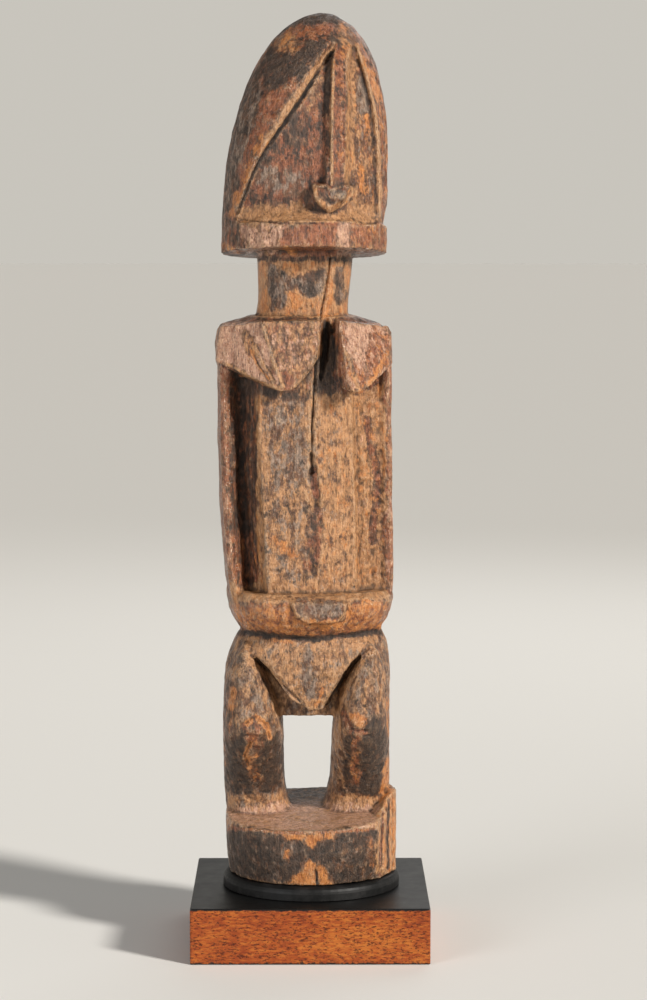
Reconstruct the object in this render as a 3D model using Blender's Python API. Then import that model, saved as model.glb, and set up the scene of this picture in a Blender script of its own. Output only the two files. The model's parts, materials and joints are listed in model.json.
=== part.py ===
"""A carved wooden ancestor figure standing on a round pad and a square wooden plinth.

Units are metres, +Z is up, and the figure looks towards -Y. The origin is the
middle of the plinth's underside.
"""

import math

import bmesh
import bpy
from mathutils import Vector

# Driving sizes of the mount
PLINTH_SIDE = 0.096
PLINTH_HEIGHT = 0.0227
PLINTH_EDGE = 0.0006
PAD_HEIGHT = 0.0057
PAD_MARGIN = 0.0010
PAD_ROUNDING = 0.0030
REST_GAP = 0.0003

# The figure is a free form: all its carving is a share of its own height.
FIGURE_HEIGHT = 0.351
MM = FIGURE_HEIGHT / 351.0

PAD_Z = PLINTH_HEIGHT + REST_GAP
FIGURE_Z = PAD_Z + PAD_HEIGHT + REST_GAP

# Foot block, in shares of the figure like everything below
FOOT_RADIUS = 35.3
FOOT_X = 0.4
FOOT_FRONT_TOP = 22.6
FOOT_FRONT_RISE = 0.12
FOOT_BACK_RISE = 0.03
FOOT_RIGHT_RISE = 0.03
FOOT_BREAK = -9.0

# Trunk, arms and belt
TORSO_TURN = math.radians(10.0)
TORSO_X = -4.0
ARM_THICKNESS = 3.8
CROTCH_HEIGHT = 65.5
GROIN_DEPTH = -13.0

# Head, measured from its underside
HEAD_BOTTOM = 253.5
HEAD_HEIGHT = 97.5
HEAD_RADIUS = 33.6
HEAD_X = -2.5
HEAD_LEAN_TO_RIGHT = 7.3
HEAD_TILT = math.radians(-5.0)
FACE_TURN = math.radians(23.0)
JAW_HEIGHT = 10.6
COVE_HEIGHT = 6.5
COVE_DEPTH = 1.15
CHEEK_DEPTH = 4.15
CHEEK_FLATNESS = 0.78
FACE_TOP = HEAD_HEIGHT * 0.8615
NOSE_LEFT = -4.5
NOSE_RIDGE_RIGHT = 2.0
NOSE_FOOT_RIGHT = 6.3

# How far a cutter reaches past the wood
BEYOND = 62.0

WOOD = ("carved_wood", (0.36, 0.20, 0.11), 0.62)
PAD_PAINT = ("pad_paint", (0.025, 0.025, 0.027), 0.45)
PLINTH_WOOD = ("plinth_wood", (0.55, 0.20, 0.06), 0.55)


def clear_scene():
    for old in list(bpy.data.objects):
        bpy.data.objects.remove(old)


def material(name, colour, roughness):
    made = bpy.data.materials.new(name)
    made.use_nodes = True
    shader = made.node_tree.nodes["Principled BSDF"]
    shader.inputs["Base Color"].default_value = (*colour, 1.0)
    shader.inputs["Roughness"].default_value = roughness
    shader.inputs["Metallic"].default_value = 0.0
    return made


def add_object(name, bm, parent=None, finish=None):
    """Makes an object of a closed bmesh, with its faces turned outwards."""
    bmesh.ops.recalc_face_normals(bm, faces=bm.faces)
    mesh = bpy.data.meshes.new(name)
    bm.to_mesh(mesh)
    bm.free()
    made = bpy.data.objects.new(name, mesh)
    bpy.context.scene.collection.objects.link(made)
    made.parent = parent
    if finish:
        mesh.materials.append(finish)
    else:
        made.hide_render = True
        made.display_type = "WIRE"
    return made


def add_frame(name, parent=None, location=(0, 0, 0), turn=0.0, tilt=0.0):
    made = bpy.data.objects.new(name, None)
    bpy.context.scene.collection.objects.link(made)
    made.parent = parent
    made.location = location
    made.rotation_euler = (tilt, 0.0, turn)
    return made


def loft(name, rings, parent=None, finish=None, unit=MM):
    """Bridges rings of equal length, given as lists of points, and caps both ends."""
    bm = bmesh.new()
    rows = [[bm.verts.new(Vector(point) * unit) for point in ring] for ring in rings]
    count = len(rows[0])
    for lower, upper in zip(rows, rows[1:]):
        for i in range(count):
            j = (i + 1) % count
            bm.faces.new((lower[i], lower[j], upper[j], upper[i]))
    bm.faces.new(rows[0])
    bm.faces.new(rows[-1])
    return add_object(name, bm, parent, finish)


def hull(name, points, parent=None):
    """The faceted block that has these corners, as straight blade cuts would leave it."""
    bm = bmesh.new()
    for point in points:
        bm.verts.new(Vector(point) * MM)
    bmesh.ops.convex_hull(bm, input=bm.verts)
    return add_object(name, bm, parent)


def prism(name, outline, near, far, parent=None):
    """A convex outline of (across, up) points, cut straight from front to back."""
    return hull(name, [(x, y, z) for x, z in outline for y in (near, far)], parent)


def combine(target, other, operation):
    modifier = target.modifiers.new(other.name, "BOOLEAN")
    modifier.operation = operation
    modifier.object = other
    modifier.solver = "EXACT"


def join(target, *others):
    for other in others:
        combine(target, other, "UNION")


def carve(target, *others):
    for other in others:
        combine(target, other, "DIFFERENCE")


def superellipse(radius_x, radius_y, power, centre=(0.0, 0.0), z=0.0, count=40):
    """A ring of points: power 2 is an ellipse, and more is squarer."""
    ring = []
    for i in range(count):
        angle = 2 * math.pi * (i + 0.5) / count
        c = math.cos(angle)
        s = math.sin(angle)
        x = radius_x * math.copysign(abs(c) ** (2 / power), c)
        y = radius_y * math.copysign(abs(s) ** (2 / power), s)
        ring.append((centre[0] + x, centre[1] + y, z))
    return ring


def egg(z, left, right, front, back, power, count=32):
    """A superellipse ring given by its four sides."""
    centre = ((left + right) / 2, (front + back) / 2)
    return superellipse((right - left) / 2, (back - front) / 2, power, centre, z, count)


def stack(name, sections, parent, count=32):
    return loft(name, [egg(*section, count=count) for section in sections], parent)


def make_plinth(finish):
    bm = bmesh.new()
    bmesh.ops.create_cube(bm, size=1.0)
    bmesh.ops.scale(bm, vec=(PLINTH_SIDE, PLINTH_SIDE, PLINTH_HEIGHT), verts=bm.verts)
    bmesh.ops.translate(bm, vec=(0, 0, PLINTH_HEIGHT / 2), verts=bm.verts)
    plinth = add_object("plinth", bm, finish=finish)
    edge = plinth.modifiers.new("edge", "BEVEL")
    edge.width = PLINTH_EDGE
    edge.segments = 2
    return plinth


def make_pad(finish):
    """The low round pad between the plinth and the foot block, with a rounded rim."""
    radius = FOOT_RADIUS * MM + PAD_MARGIN
    rounding = min(PAD_ROUNDING, PAD_HEIGHT * 0.6)
    steps = 5
    centre = (FOOT_X * MM, 0.0)
    rings = [superellipse(radius, radius, 2.0, centre, PAD_Z, 72)]
    for i in range(steps + 1):
        angle = math.pi / 2 * i / steps
        inset = rounding * (1 - math.cos(angle))
        z = PAD_Z + PAD_HEIGHT - rounding * (1 - math.sin(angle))
        rings.append(superellipse(radius - inset, radius - inset, 2.0, centre, z, 72))
    return loft("round_pad", rings, finish=finish, unit=1.0)


def foot_top(x, y):
    """Height of the foot block's top: steeper before the feet than between them."""
    front = min(y, FOOT_BREAK) + FOOT_RADIUS
    back = max(y - FOOT_BREAK, 0.0)
    rise = FOOT_FRONT_RISE * front + FOOT_BACK_RISE * back + FOOT_RIGHT_RISE * (x - FOOT_X)
    return FOOT_FRONT_TOP + rise


def make_foot_block(parent, finish):
    """The drum under the feet, round at its underside and squarer towards its top."""
    rows = (
        (0.0, 0.962, 2.0),
        (0.14, 0.972, 2.05),
        (0.3, 0.985, 2.15),
        (0.6, 0.998, 2.35),
        (0.95, 1.0, 2.5),
        (1.0, 0.988, 2.5),
    )
    rings = []
    for share, narrowing, power in rows:
        radius = FOOT_RADIUS * narrowing
        ring = superellipse(radius, radius, power, (FOOT_X, 0.0), 0, 52)
        rings.append([(x, y, foot_top(x, y) * share) for x, y, _ in ring])
    return loft("figure", rings, parent, finish)


def make_split_side(parent):
    """The wood left standing at the right where the log has split."""
    corners = [
        (25.0, -21.0, 0.0),
        (28.4, -20.5, 0.0),
        (35.6, -3.0, 0.0),
        (34.0, 12.0, 0.0),
        (24.0, 14.0, 0.0),
        (26.5, -19.0, 24.5),
        (29.4, -18.0, 25.0),
        (31.4, -12.5, 31.0),
        (33.4, -8.0, 33.4),
        (35.4, -2.8, 33.6),
        (34.0, 11.5, 32.6),
        (24.0, 13.0, 32.0),
    ]
    return hull("split_side", corners, parent)


def make_split_cut(parent):
    """Flattens the front right of the foot block along the split."""
    corners = [
        (27.6, -23.6, -5.0),
        (27.6, -23.6, 60.0),
        (36.6, -1.5, -5.0),
        (36.6, -1.5, 60.0),
        (50.0, -30.0, -5.0),
        (50.0, -30.0, 60.0),
        (30.0, -45.0, -5.0),
        (30.0, -45.0, 60.0),
    ]
    return hull("split_cut", corners, parent)


# Each leg from the foot up: height, left, right, front, back, squareness.
LEFT_LEG = (
    (14.0, -32.4, -9.0, -8.0, 22.0, 2.4),
    (22.0, -34.2, -8.2, -9.6, 23.5, 2.5),
    (25.5, -34.9, -8.3, -9.8, 23.6, 2.5),
    (29.5, -35.3, -9.4, -9.4, 23.2, 2.5),
    (36.0, -35.6, -10.5, -11.4, 22.2, 2.5),
    (43.0, -35.7, -10.9, -15.4, 21.6, 2.5),
    (50.0, -35.8, -10.9, -20.2, 21.6, 2.5),
    (56.0, -35.8, -10.9, -24.6, 22.0, 2.5),
    (61.0, -35.8, -11.1, -27.0, 22.8, 2.5),
    (67.0, -35.8, -11.6, -27.4, 24.2, 2.5),
    (72.0, -35.7, -12.2, -26.4, 25.4, 2.5),
    (78.0, -35.3, -14.6, -26.5, 26.0, 2.4),
    (85.0, -34.2, -17.6, -26.0, 25.8, 2.35),
    (92.0, -31.6, -20.4, -23.4, 24.0, 2.3),
    (97.0, -28.6, -22.6, -18.5, 22.0, 2.2),
)
RIGHT_LEG = (
    (14.0, 7.0, 30.4, -8.0, 22.0, 2.4),
    (22.5, 5.4, 32.0, -9.8, 23.5, 2.5),
    (26.5, 5.4, 32.6, -10.0, 23.6, 2.5),
    (31.0, 6.5, 32.8, -9.6, 23.2, 2.5),
    (37.0, 7.7, 32.9, -11.8, 22.2, 2.5),
    (43.0, 8.2, 32.9, -15.4, 21.6, 2.5),
    (50.0, 8.5, 32.8, -20.2, 21.6, 2.5),
    (57.0, 8.8, 32.8, -25.2, 22.0, 2.5),
    (62.5, 9.2, 32.7, -27.6, 22.8, 2.5),
    (68.0, 9.6, 32.6, -27.6, 24.2, 2.5),
    (73.5, 10.0, 32.7, -26.4, 25.4, 2.5),
    (80.0, 11.6, 32.5, -26.4, 26.0, 2.4),
    (86.0, 14.4, 31.8, -25.8, 25.8, 2.35),
    (93.0, 18.6, 29.6, -23.2, 24.0, 2.3),
    (98.0, 21.0, 26.8, -18.5, 22.0, 2.2),
)
HIPS = (
    (58.0, -33.6, 31.0, -21.0, 23.0, 2.7),
    (66.0, -34.6, 32.0, -23.4, 25.4, 2.7),
    (74.0, -35.2, 32.6, -25.2, 26.8, 2.7),
    (80.0, -35.2, 32.9, -26.2, 27.6, 2.7),
    (85.0, -34.8, 32.7, -26.8, 28.0, 2.65),
    (90.0, -33.6, 32.2, -27.0, 27.8, 2.6),
    (95.0, -31.6, 31.2, -26.6, 26.8, 2.5),
    (99.5, -29.2, 29.2, -25.4, 25.0, 2.4),
    (104.0, -26.5, 26.8, -23.0, 22.0, 2.3),
)


LEG_GAP = ((-11.9, 50.0), (-11.9, CROTCH_HEIGHT), (9.9, CROTCH_HEIGHT), (9.9, 50.0))

# What is cut away in front, beside the triangle at the groin: across and height.
GROIN_CUTS = (
    ((-22.9, 92.4), (-16.5, 86.7), (-8.0, 74.5), (-20.5, 78.0)),
    ((-8.0, 74.5), (0.0, 69.8), (0.0, 50.0), (-30.0, 50.0), (-30.0, 70.0), (-20.5, 80.0)),
    ((21.0, 93.8), (14.0, 85.7), (10.0, 78.6), (17.8, 79.5)),
    ((10.0, 78.6), (4.8, 69.8), (4.8, 50.0), (28.0, 50.0), (28.0, 71.0), (17.8, 81.5)),
    ((-1.0, 50.0), (-1.0, 69.9), (6.0, 69.9), (6.0, 50.0)),
)


def make_hips(parent):
    """The mass between belt and legs, with the triangle left standing at the groin."""
    hips = stack("hips", HIPS, parent, 44)
    carve(hips, prism("leg_gap", LEG_GAP, -BEYOND, BEYOND, parent))
    for index, outline in enumerate(GROIN_CUTS):
        carve(hips, prism(f"groin_{index}", outline, -BEYOND, GROIN_DEPTH, parent))
    return hips


# The trunk's plan, and its height, width, depth and shift to the right.
TRUNK_PLAN = (
    (-20.6, -22.6),
    (-9.0, -24.4),
    (3.2, -25.8),
    (11.0, -25.2),
    (17.0, -22.8),
    (19.6, -18.0),
    (24.6, -17.0),
    (30.2, -18.2),
    (31.0, -5.0),
    (29.5, 8.0),
    (25.0, 18.0),
    (14.0, 25.6),
    (0.0, 27.8),
    (-14.0, 25.6),
    (-25.0, 18.0),
    (-29.0, 8.0),
    (-29.0, -4.0),
    (-24.6, -10.5),
)
TRUNK_ROWS = (
    (97.0, 0.90, 0.96, 3.2),
    (110.0, 0.95, 0.99, 3.0),
    (122.0, 0.97, 1.0, 2.6),
    (145.0, 0.99, 1.0, 1.8),
    (172.0, 1.0, 1.0, 0.5),
    (200.0, 1.0, 0.98, 0.0),
    (222.0, 1.0, 0.95, 0.0),
)

# Each arm from the belt up: height, outer edge, front.
LEFT_ARM = (
    (103.0, -24.0, -12.0),
    (109.0, -27.6, -14.0),
    (115.0, -30.4, -15.6),
    (122.0, -31.8, -16.2),
    (134.0, -32.8, -16.2),
    (152.0, -34.1, -16.0),
    (178.0, -34.8, -15.6),
    (208.0, -34.8, -15.2),
)
RIGHT_ARM = (
    (103.0, 29.0, -15.0),
    (109.0, 32.6, -17.0),
    (115.0, 34.8, -19.2),
    (122.0, 35.2, -20.0),
    (134.0, 35.2, -20.0),
    (152.0, 34.7, -20.0),
    (178.0, 34.5, -20.0),
    (214.0, 34.3, -20.0),
)


def make_trunk(parent):
    """The belly block: front planes, side cuts beside the arms, and a round back."""
    rings = []
    for height, wide, deep, shift in TRUNK_ROWS:
        rings.append([(x * wide + shift, y * deep, height) for x, y in TRUNK_PLAN])
    return loft("trunk", rings, parent)


def make_arm(name, side, cuts, parent):
    """A flat slab beside the trunk, which runs down into the belt."""
    rings = []
    for height, outer, front in cuts:
        plan = (
            (outer + side * 0.2, front + 1.6),
            (outer - side * ARM_THICKNESS * 0.4, front),
            (outer - side * ARM_THICKNESS, front + 0.8),
            (outer - side * 9.5, -7.5),
            (outer - side * 14.0, 4.0),
            (outer - side * 11.0, 15.5),
            (outer - side * 5.0, 15.0),
            (outer - side * 1.8, 8.0),
            (outer - side * 0.4, -5.0),
        )
        rings.append([(x, y, height) for x, y in plan])
    return loft(name, rings, parent)


SHOULDERS = (
    (204.0, -32.0, 33.0, -17.0, 21.0, 2.7),
    (210.0, -34.0, 34.2, -19.5, 24.5, 2.8),
    (217.0, -34.2, 34.2, -21.5, 25.5, 2.9),
    (222.5, -33.4, 33.6, -22.0, 25.0, 2.9),
    (225.0, -32.0, 32.4, -21.8, 23.6, 2.9),
    (228.6, -21.0, 22.0, -20.5, 17.0, 2.6),
)

LEFT_BREAST = (
    (-36.4, -6.0, 224.6),
    (-37.3, -6.0, 218.0),
    (-20.0, -10.0, 227.4),
    (5.4, -12.0, 227.7),
    (-38.2, -6.0, 210.4),
    (-31.5, -18.5, 207.2),
    (-22.5, -23.0, 202.6),
    (-13.5, -27.0, 199.6),
    (0.0, -18.0, 207.0),
    (4.2, -16.0, 214.0),
    (-36.2, -18.4, 224.6),
    (-37.2, -19.4, 218.0),
    (-18.5, -29.8, 226.9),
    (5.4, -28.2, 227.5),
    (5.4, -28.8, 219.5),
    (4.5, -29.2, 214.0),
    (1.6, -29.8, 209.0),
    (-2.6, -31.2, 204.2),
    (-5.6, -32.6, 200.6),
    (-8.0, -33.8, 199.2),
    (-11.8, -34.2, 199.2),
    (-18.0, -31.8, 202.6),
    (-24.0, -28.4, 205.8),
    (-30.0, -23.8, 209.2),
    (-37.9, -20.4, 210.6),
)
RIGHT_BREAST = (
    (10.4, -14.0, 227.5),
    (31.0, -8.0, 224.4),
    (33.2, -8.0, 210.0),
    (20.0, -18.0, 200.5),
    (12.6, -18.0, 204.0),
    (10.2, -25.0, 227.3),
    (9.8, -25.4, 214.0),
    (11.0, -27.0, 204.2),
    (13.0, -29.4, 199.8),
    (11.6, -29.6, 227.2),
    (14.4, -31.8, 214.0),
    (14.8, -33.2, 205.0),
    (16.6, -33.8, 198.9),
    (20.8, -33.6, 198.9),
    (26.0, -29.8, 203.0),
    (31.6, -22.4, 208.2),
    (33.3, -17.8, 210.0),
    (33.0, -16.8, 222.0),
    (31.6, -16.6, 224.6),
)
CHEST_VALLEY = (
    (5.4, -40.0, 233.0),
    (10.4, -40.0, 233.0),
    (6.2, -16.5, 233.0),
    (7.4, -16.5, 233.0),
    (4.8, -40.0, 214.0),
    (9.8, -40.0, 214.0),
    (5.2, -18.5, 214.0),
    (6.6, -18.5, 214.0),
    (1.0, -40.0, 200.0),
    (10.0, -40.0, 200.0),
    (3.0, -24.8, 197.0),
)

# Belt of forearms and hands: height, left, right, front, back, squareness.
BELT = (
    (98.8, -21.4, 29.4, -24.0, 20.0, 2.2),
    (100.0, -23.6, 31.2, -26.8, 22.6, 2.2),
    (102.0, -25.8, 32.9, -29.2, 25.0, 2.3),
    (105.0, -27.8, 34.6, -31.2, 27.0, 2.5),
    (109.0, -29.2, 36.0, -32.3, 28.2, 2.7),
    (113.0, -29.9, 36.8, -32.4, 28.6, 2.9),
    (115.6, -30.0, 36.9, -31.0, 28.2, 3.0),
    (117.4, -29.6, 36.4, -28.2, 27.0, 3.0),
)
HANDS = (
    (-6.4, -20.0, 117.2),
    (14.2, -20.0, 117.2),
    (-6.0, -30.0, 117.0),
    (13.6, -30.0, 117.0),
    (-7.4, -34.0, 114.4),
    (14.4, -33.6, 114.4),
    (-5.4, -34.4, 109.4),
    (13.9, -34.0, 109.6),
    (-1.5, -34.0, 106.4),
    (11.4, -33.8, 106.4),
    (1.0, -20.0, 105.6),
    (9.0, -20.0, 105.6),
)

NECK = (
    (222.0, -22.4, 15.8, -18.0, 18.0, 2.5),
    (229.5, -21.9, 15.5, -17.8, 18.0, 2.5),
    (234.0, -21.2, 15.5, -17.6, 18.0, 2.5),
    (242.0, -21.1, 16.3, -17.8, 18.2, 2.5),
    (250.0, -21.2, 17.1, -18.2, 18.6, 2.5),
    (258.0, -21.4, 17.8, -18.6, 19.0, 2.5),
)

# Drying cracks: across, front, height, half width.
BELLY_CRACK_DEPTH = 6.5
NECK_CRACK_DEPTH = 9.0
BELLY_CRACK = (
    (2.6, -28.0, 207.0, 0.9),
    (1.6, -28.0, 189.7, 0.5),
    (0.8, -28.0, 173.7, 0.6),
    (1.2, -28.0, 160.0, 0.9),
    (2.6, -28.0, 151.5, 0.4),
)
NECK_CRACK = (
    (8.6, -22.0, 249.0, 0.25),
    (7.0, -22.0, 238.5, 0.6),
    (5.8, -24.5, 226.0, 1.0),
)


def make_crack(name, line, depth, parent):
    """A thin wedge that follows a line down the front."""
    pieces = []
    for index, ends in enumerate(zip(line, line[1:])):
        corners = []
        for x, y, z, half in ends:
            corners += [(x - half, y, z), (x + half, y, z)]
            corners += [(x - half * 0.35, y + depth, z), (x + half * 0.35, y + depth, z)]
        pieces.append(hull(f"{name}_{index}", corners, parent))
    return pieces


def shell_radius(height):
    """Radius of the head at this height above its underside: a pointed arch."""
    share = min(max(height / HEAD_HEIGHT, 0.0), 1.0)
    return HEAD_RADIUS * (1 - share**3.2) ** (1 / 1.91)


def shell_centre(height):
    return HEAD_LEAN_TO_RIGHT * min(max(height / HEAD_HEIGHT, 0.0), 1.0) ** 1.6


def face_point(across, forward, height):
    """A point given in the face's own directions about the head's middle line."""
    x = across * math.cos(FACE_TURN) + forward * math.sin(FACE_TURN)
    y = across * math.sin(FACE_TURN) - forward * math.cos(FACE_TURN)
    return (shell_centre(height) + x, y, height)


def polar(angle, radius):
    """Across and forward of a point at an angle from the face's middle."""
    return radius * math.sin(angle), radius * math.cos(angle)


def mix(a, b, share):
    return a + (b - a) * share


def ramp(value, low, high):
    share = min(max((value - low) / (high - low), 0.0), 1.0)
    return share * share * (3 - 2 * share)


def make_head_shell(parent):
    rings = []
    for i in range(18):
        share = 0.996 * math.sin(math.pi / 2 * i / 17)
        height = share * HEAD_HEIGHT
        radius = shell_radius(height)
        rings.append(superellipse(radius, radius, 2.0, (shell_centre(height), 0), height, 48))
    return loft("head", rings, parent)


def cove_levels():
    """Heights of the rows in the cove above the jaw."""
    return [JAW_HEIGHT + COVE_HEIGHT * share for share in (0.0, 0.12, 0.37, 0.68, 1.05)]


def cheek_levels():
    """Heights of the rows above the cove, up to the point of the face."""
    shares = (0.262, 0.357, 0.452, 0.548, 0.643, 0.738, 0.821, 0.893, 0.946, 0.983)
    return [FACE_TOP * share for share in shares]


def hollow_depth(height, fade=1.0):
    """How far the face lies below the round of the head, shallow at the jaw."""
    cove = ramp(height, JAW_HEIGHT - 0.4, JAW_HEIGHT + COVE_HEIGHT)
    skim = 0.25
    return (mix(COVE_DEPTH, CHEEK_DEPTH, cove) - skim) * fade + skim


def foot_angle(foot, radius, depth):
    """Where the cheek may begin beside the nose, a little way out from the nose's foot."""
    clear = math.copysign(0.4, foot)
    return math.atan2(foot + clear, math.sqrt(radius**2 - foot**2) - depth)


def cheek_row(height, nose_foot, nose_edge, rim_inner, rim_outer, depth, flat):
    """One level of a cheek's cutter: nose wall, cheek, bevelled rim and the outside."""
    radius = shell_radius(height)
    foot_forward = math.sqrt(radius**2 - nose_foot**2) - depth
    edge_forward = math.sqrt(radius**2 - nose_edge**2) + 0.4
    row = [(nose_edge, BEYOND), (nose_edge, edge_forward)]
    start = (nose_foot, foot_forward)
    end = polar(rim_inner, radius - min(depth, 2.1))
    start_angle = math.atan2(*start)
    steps = 8
    for k in range(steps + 1):
        share = k / steps
        straight = (mix(start[0], end[0], share), mix(start[1], end[1], share))
        reach = mix(math.hypot(*start), math.hypot(*end), share)
        curved = polar(mix(start_angle, rim_inner, share), reach)
        row.append((mix(curved[0], straight[0], flat), mix(curved[1], straight[1], flat)))
    row.append(polar(rim_outer, radius + 0.4))
    row.append(polar(rim_outer, BEYOND))
    return [face_point(across, forward, height) for across, forward in row]


def make_cheek(name, side, parent):
    rows = []
    for height in cove_levels() + cheek_levels():
        down = (FACE_TOP - height) / (FACE_TOP - JAW_HEIGHT)
        cove = ramp(height, JAW_HEIGHT - 0.4, JAW_HEIGHT + COVE_HEIGHT)
        depth = hollow_depth(height, ramp(FACE_TOP - height, -1.0, 9.0))
        flat = CHEEK_FLATNESS * mix(0.1, 1.0, cove)
        top = ramp(height, FACE_TOP * 0.833, FACE_TOP * 0.994)
        radius = shell_radius(height)
        if side < 0:
            outer = math.radians(-2.0 - 76.0 * down**0.62)
            bevel = math.radians(1.4 + 10.0 * (1 - down) * min(1.0, down * 3.2))
            foot = mix(NOSE_LEFT - 0.5, -1.2, top)
            edge = mix(NOSE_LEFT, -0.8, top)
            inner = min(outer + bevel, foot_angle(foot, radius, depth))
            outer = min(outer, inner - bevel / 3)
        else:
            outer = math.radians(23.5 + 18.0 * down**0.65)
            bevel = math.radians(2.2)
            foot = mix(NOSE_FOOT_RIGHT, 7.2, top)
            edge = mix(NOSE_RIDGE_RIGHT, 5.6, top)
            inner = max(outer - bevel, foot_angle(foot, radius, depth))
            outer = max(outer, inner + bevel / 3)
        rows.append(cheek_row(height, foot, edge, inner, outer, depth, flat))
    return loft(name, rows, parent)


def make_under_nose(parent):
    """Takes away the nose below its tip, down to the cheeks."""
    rows = []
    for height in cove_levels() + cheek_levels()[:1]:
        depth = hollow_depth(height)
        radius = shell_radius(height)
        row = [(7.0, BEYOND), (-5.6, BEYOND)]
        for across in (-5.6, -2.5, 1.0, 4.0, 7.0):
            row.append((across, math.sqrt(radius**2 - across**2) - depth))
        rows.append([face_point(across, forward, height) for across, forward in row])
    return loft("under_nose", rows, parent)


def make_jaw_notch(parent):
    """The cut above the jaw band runs on round the right side of the head."""
    rows = []
    for share, depth in ((0.0, 0.2), (0.12, 1.9), (0.52, 1.6), (0.98, 0.9), (1.6, -0.3)):
        height = JAW_HEIGHT + COVE_HEIGHT * share
        radius = shell_radius(height)
        angles = [math.radians(38 + 9 * k) for k in range(11)]
        row = []
        for k, angle in enumerate(angles):
            fade = ramp(k, -0.5, 2) * ramp(10 - k, -0.5, 3)
            row.append(polar(angle, radius - depth * fade + 0.3 * (1 - fade)))
        for angle in reversed(angles):
            row.append(polar(angle, BEYOND))
        rows.append([face_point(across, forward, height) for across, forward in row])
    return loft("jaw_notch", rows, parent)


def face_hull(name, points, parent):
    """A block on the face, drawn in shares of the head's radius and height."""
    r = HEAD_RADIUS
    corners = [face_point(across * r, forward * r, up * HEAD_HEIGHT) for across, forward, up in points]
    return hull(name, corners, parent)


def make_mouth(parent):
    """The cup-shaped mouth, broad at the nose and pointed at the chin."""
    corners = [
        (-0.268, 0.804, 0.263),
        (0.214, 0.804, 0.258),
        (-0.095, 0.804, 0.131),
        (-0.304, 0.923, 0.258),
        (0.196, 0.929, 0.254),
        (-0.238, 0.982, 0.252),
        (0.149, 0.988, 0.248),
        (-0.196, 1.0, 0.201),
        (0.071, 1.0, 0.201),
        (-0.095, 1.0, 0.168),
        (-0.095, 0.935, 0.141),
        (-0.280, 0.929, 0.199),
        (0.131, 0.929, 0.193),
    ]
    return face_hull("mouth", corners, parent)


def make_mouth_hollow(parent):
    corners = [
        (-0.196, 1.19, 0.277),
        (0.113, 1.19, 0.277),
        (-0.077, 1.19, 0.197),
        (-0.185, 0.946, 0.277),
        (0.095, 0.946, 0.277),
        (-0.077, 0.946, 0.213),
    ]
    return face_hull("mouth_hollow", corners, parent)


def make_nose_tip(parent):
    """The lower end of the nose, which rests inside the mouth's cup."""
    corners = [
        (-0.137, 0.774, 0.287),
        (0.107, 0.774, 0.287),
        (-0.054, 0.774, 0.201),
        (-0.125, 0.991, 0.287),
        (0.065, 0.994, 0.287),
        (-0.107, 0.991, 0.240),
        (0.054, 0.991, 0.238),
        (-0.042, 0.979, 0.211),
    ]
    return face_hull("nose_tip", corners, parent)


def make_head(parent):
    head = make_head_shell(parent)
    carve(
        head,
        make_cheek("left_cheek", -1, parent),
        make_cheek("right_cheek", 1, parent),
        make_under_nose(parent),
        make_jaw_notch(parent),
    )
    mouth = make_mouth(parent)
    carve(mouth, make_mouth_hollow(parent))
    join(head, mouth, make_nose_tip(parent))
    return head


def make_figure(finish):
    """The whole carving, from one log: every form is joined to the foot block."""
    ground = add_frame("figure_ground", location=(0, 0, FIGURE_Z))
    torso = add_frame("torso_frame", ground, (TORSO_X * MM, 0, 0), turn=TORSO_TURN)
    seat = (HEAD_X * MM, 0, HEAD_BOTTOM * MM)
    head_frame = add_frame("head_frame", ground, seat, tilt=HEAD_TILT)

    figure = make_foot_block(ground, finish)
    join(figure, make_split_side(ground))
    carve(figure, make_split_cut(ground))
    join(
        figure,
        stack("left_leg", LEFT_LEG, ground, 30),
        stack("right_leg", RIGHT_LEG, ground, 30),
        make_hips(ground),
        make_trunk(torso),
        make_arm("left_arm", -1, LEFT_ARM, torso),
        make_arm("right_arm", 1, RIGHT_ARM, torso),
        stack("shoulders", SHOULDERS, torso, 36),
        hull("left_breast", LEFT_BREAST, ground),
        hull("right_breast", RIGHT_BREAST, ground),
    )
    carve(figure, hull("chest_valley", CHEST_VALLEY, ground))
    join(
        figure,
        stack("belt", BELT, torso, 40),
        hull("hands", HANDS, ground),
        stack("neck", NECK, ground, 36),
        make_head(head_frame),
    )
    carve(figure, *make_crack("belly_crack", BELLY_CRACK, BELLY_CRACK_DEPTH, ground))
    carve(figure, *make_crack("neck_crack", NECK_CRACK, NECK_CRACK_DEPTH, ground))
    return figure


clear_scene()
make_plinth(material(*PLINTH_WOOD))
make_pad(material(*PAD_PAINT))
make_figure(material(*WOOD))
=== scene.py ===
# %% [markdown]
# # A carved wooden figure on its socle
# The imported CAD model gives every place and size. This lesson dresses it: the figure gets its
# tool marks, cracks, worn edges and old, layered patina, the pad its black satin paint, and
# the socle its orange-brown wood with a black painted top.

import json
import math

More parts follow.
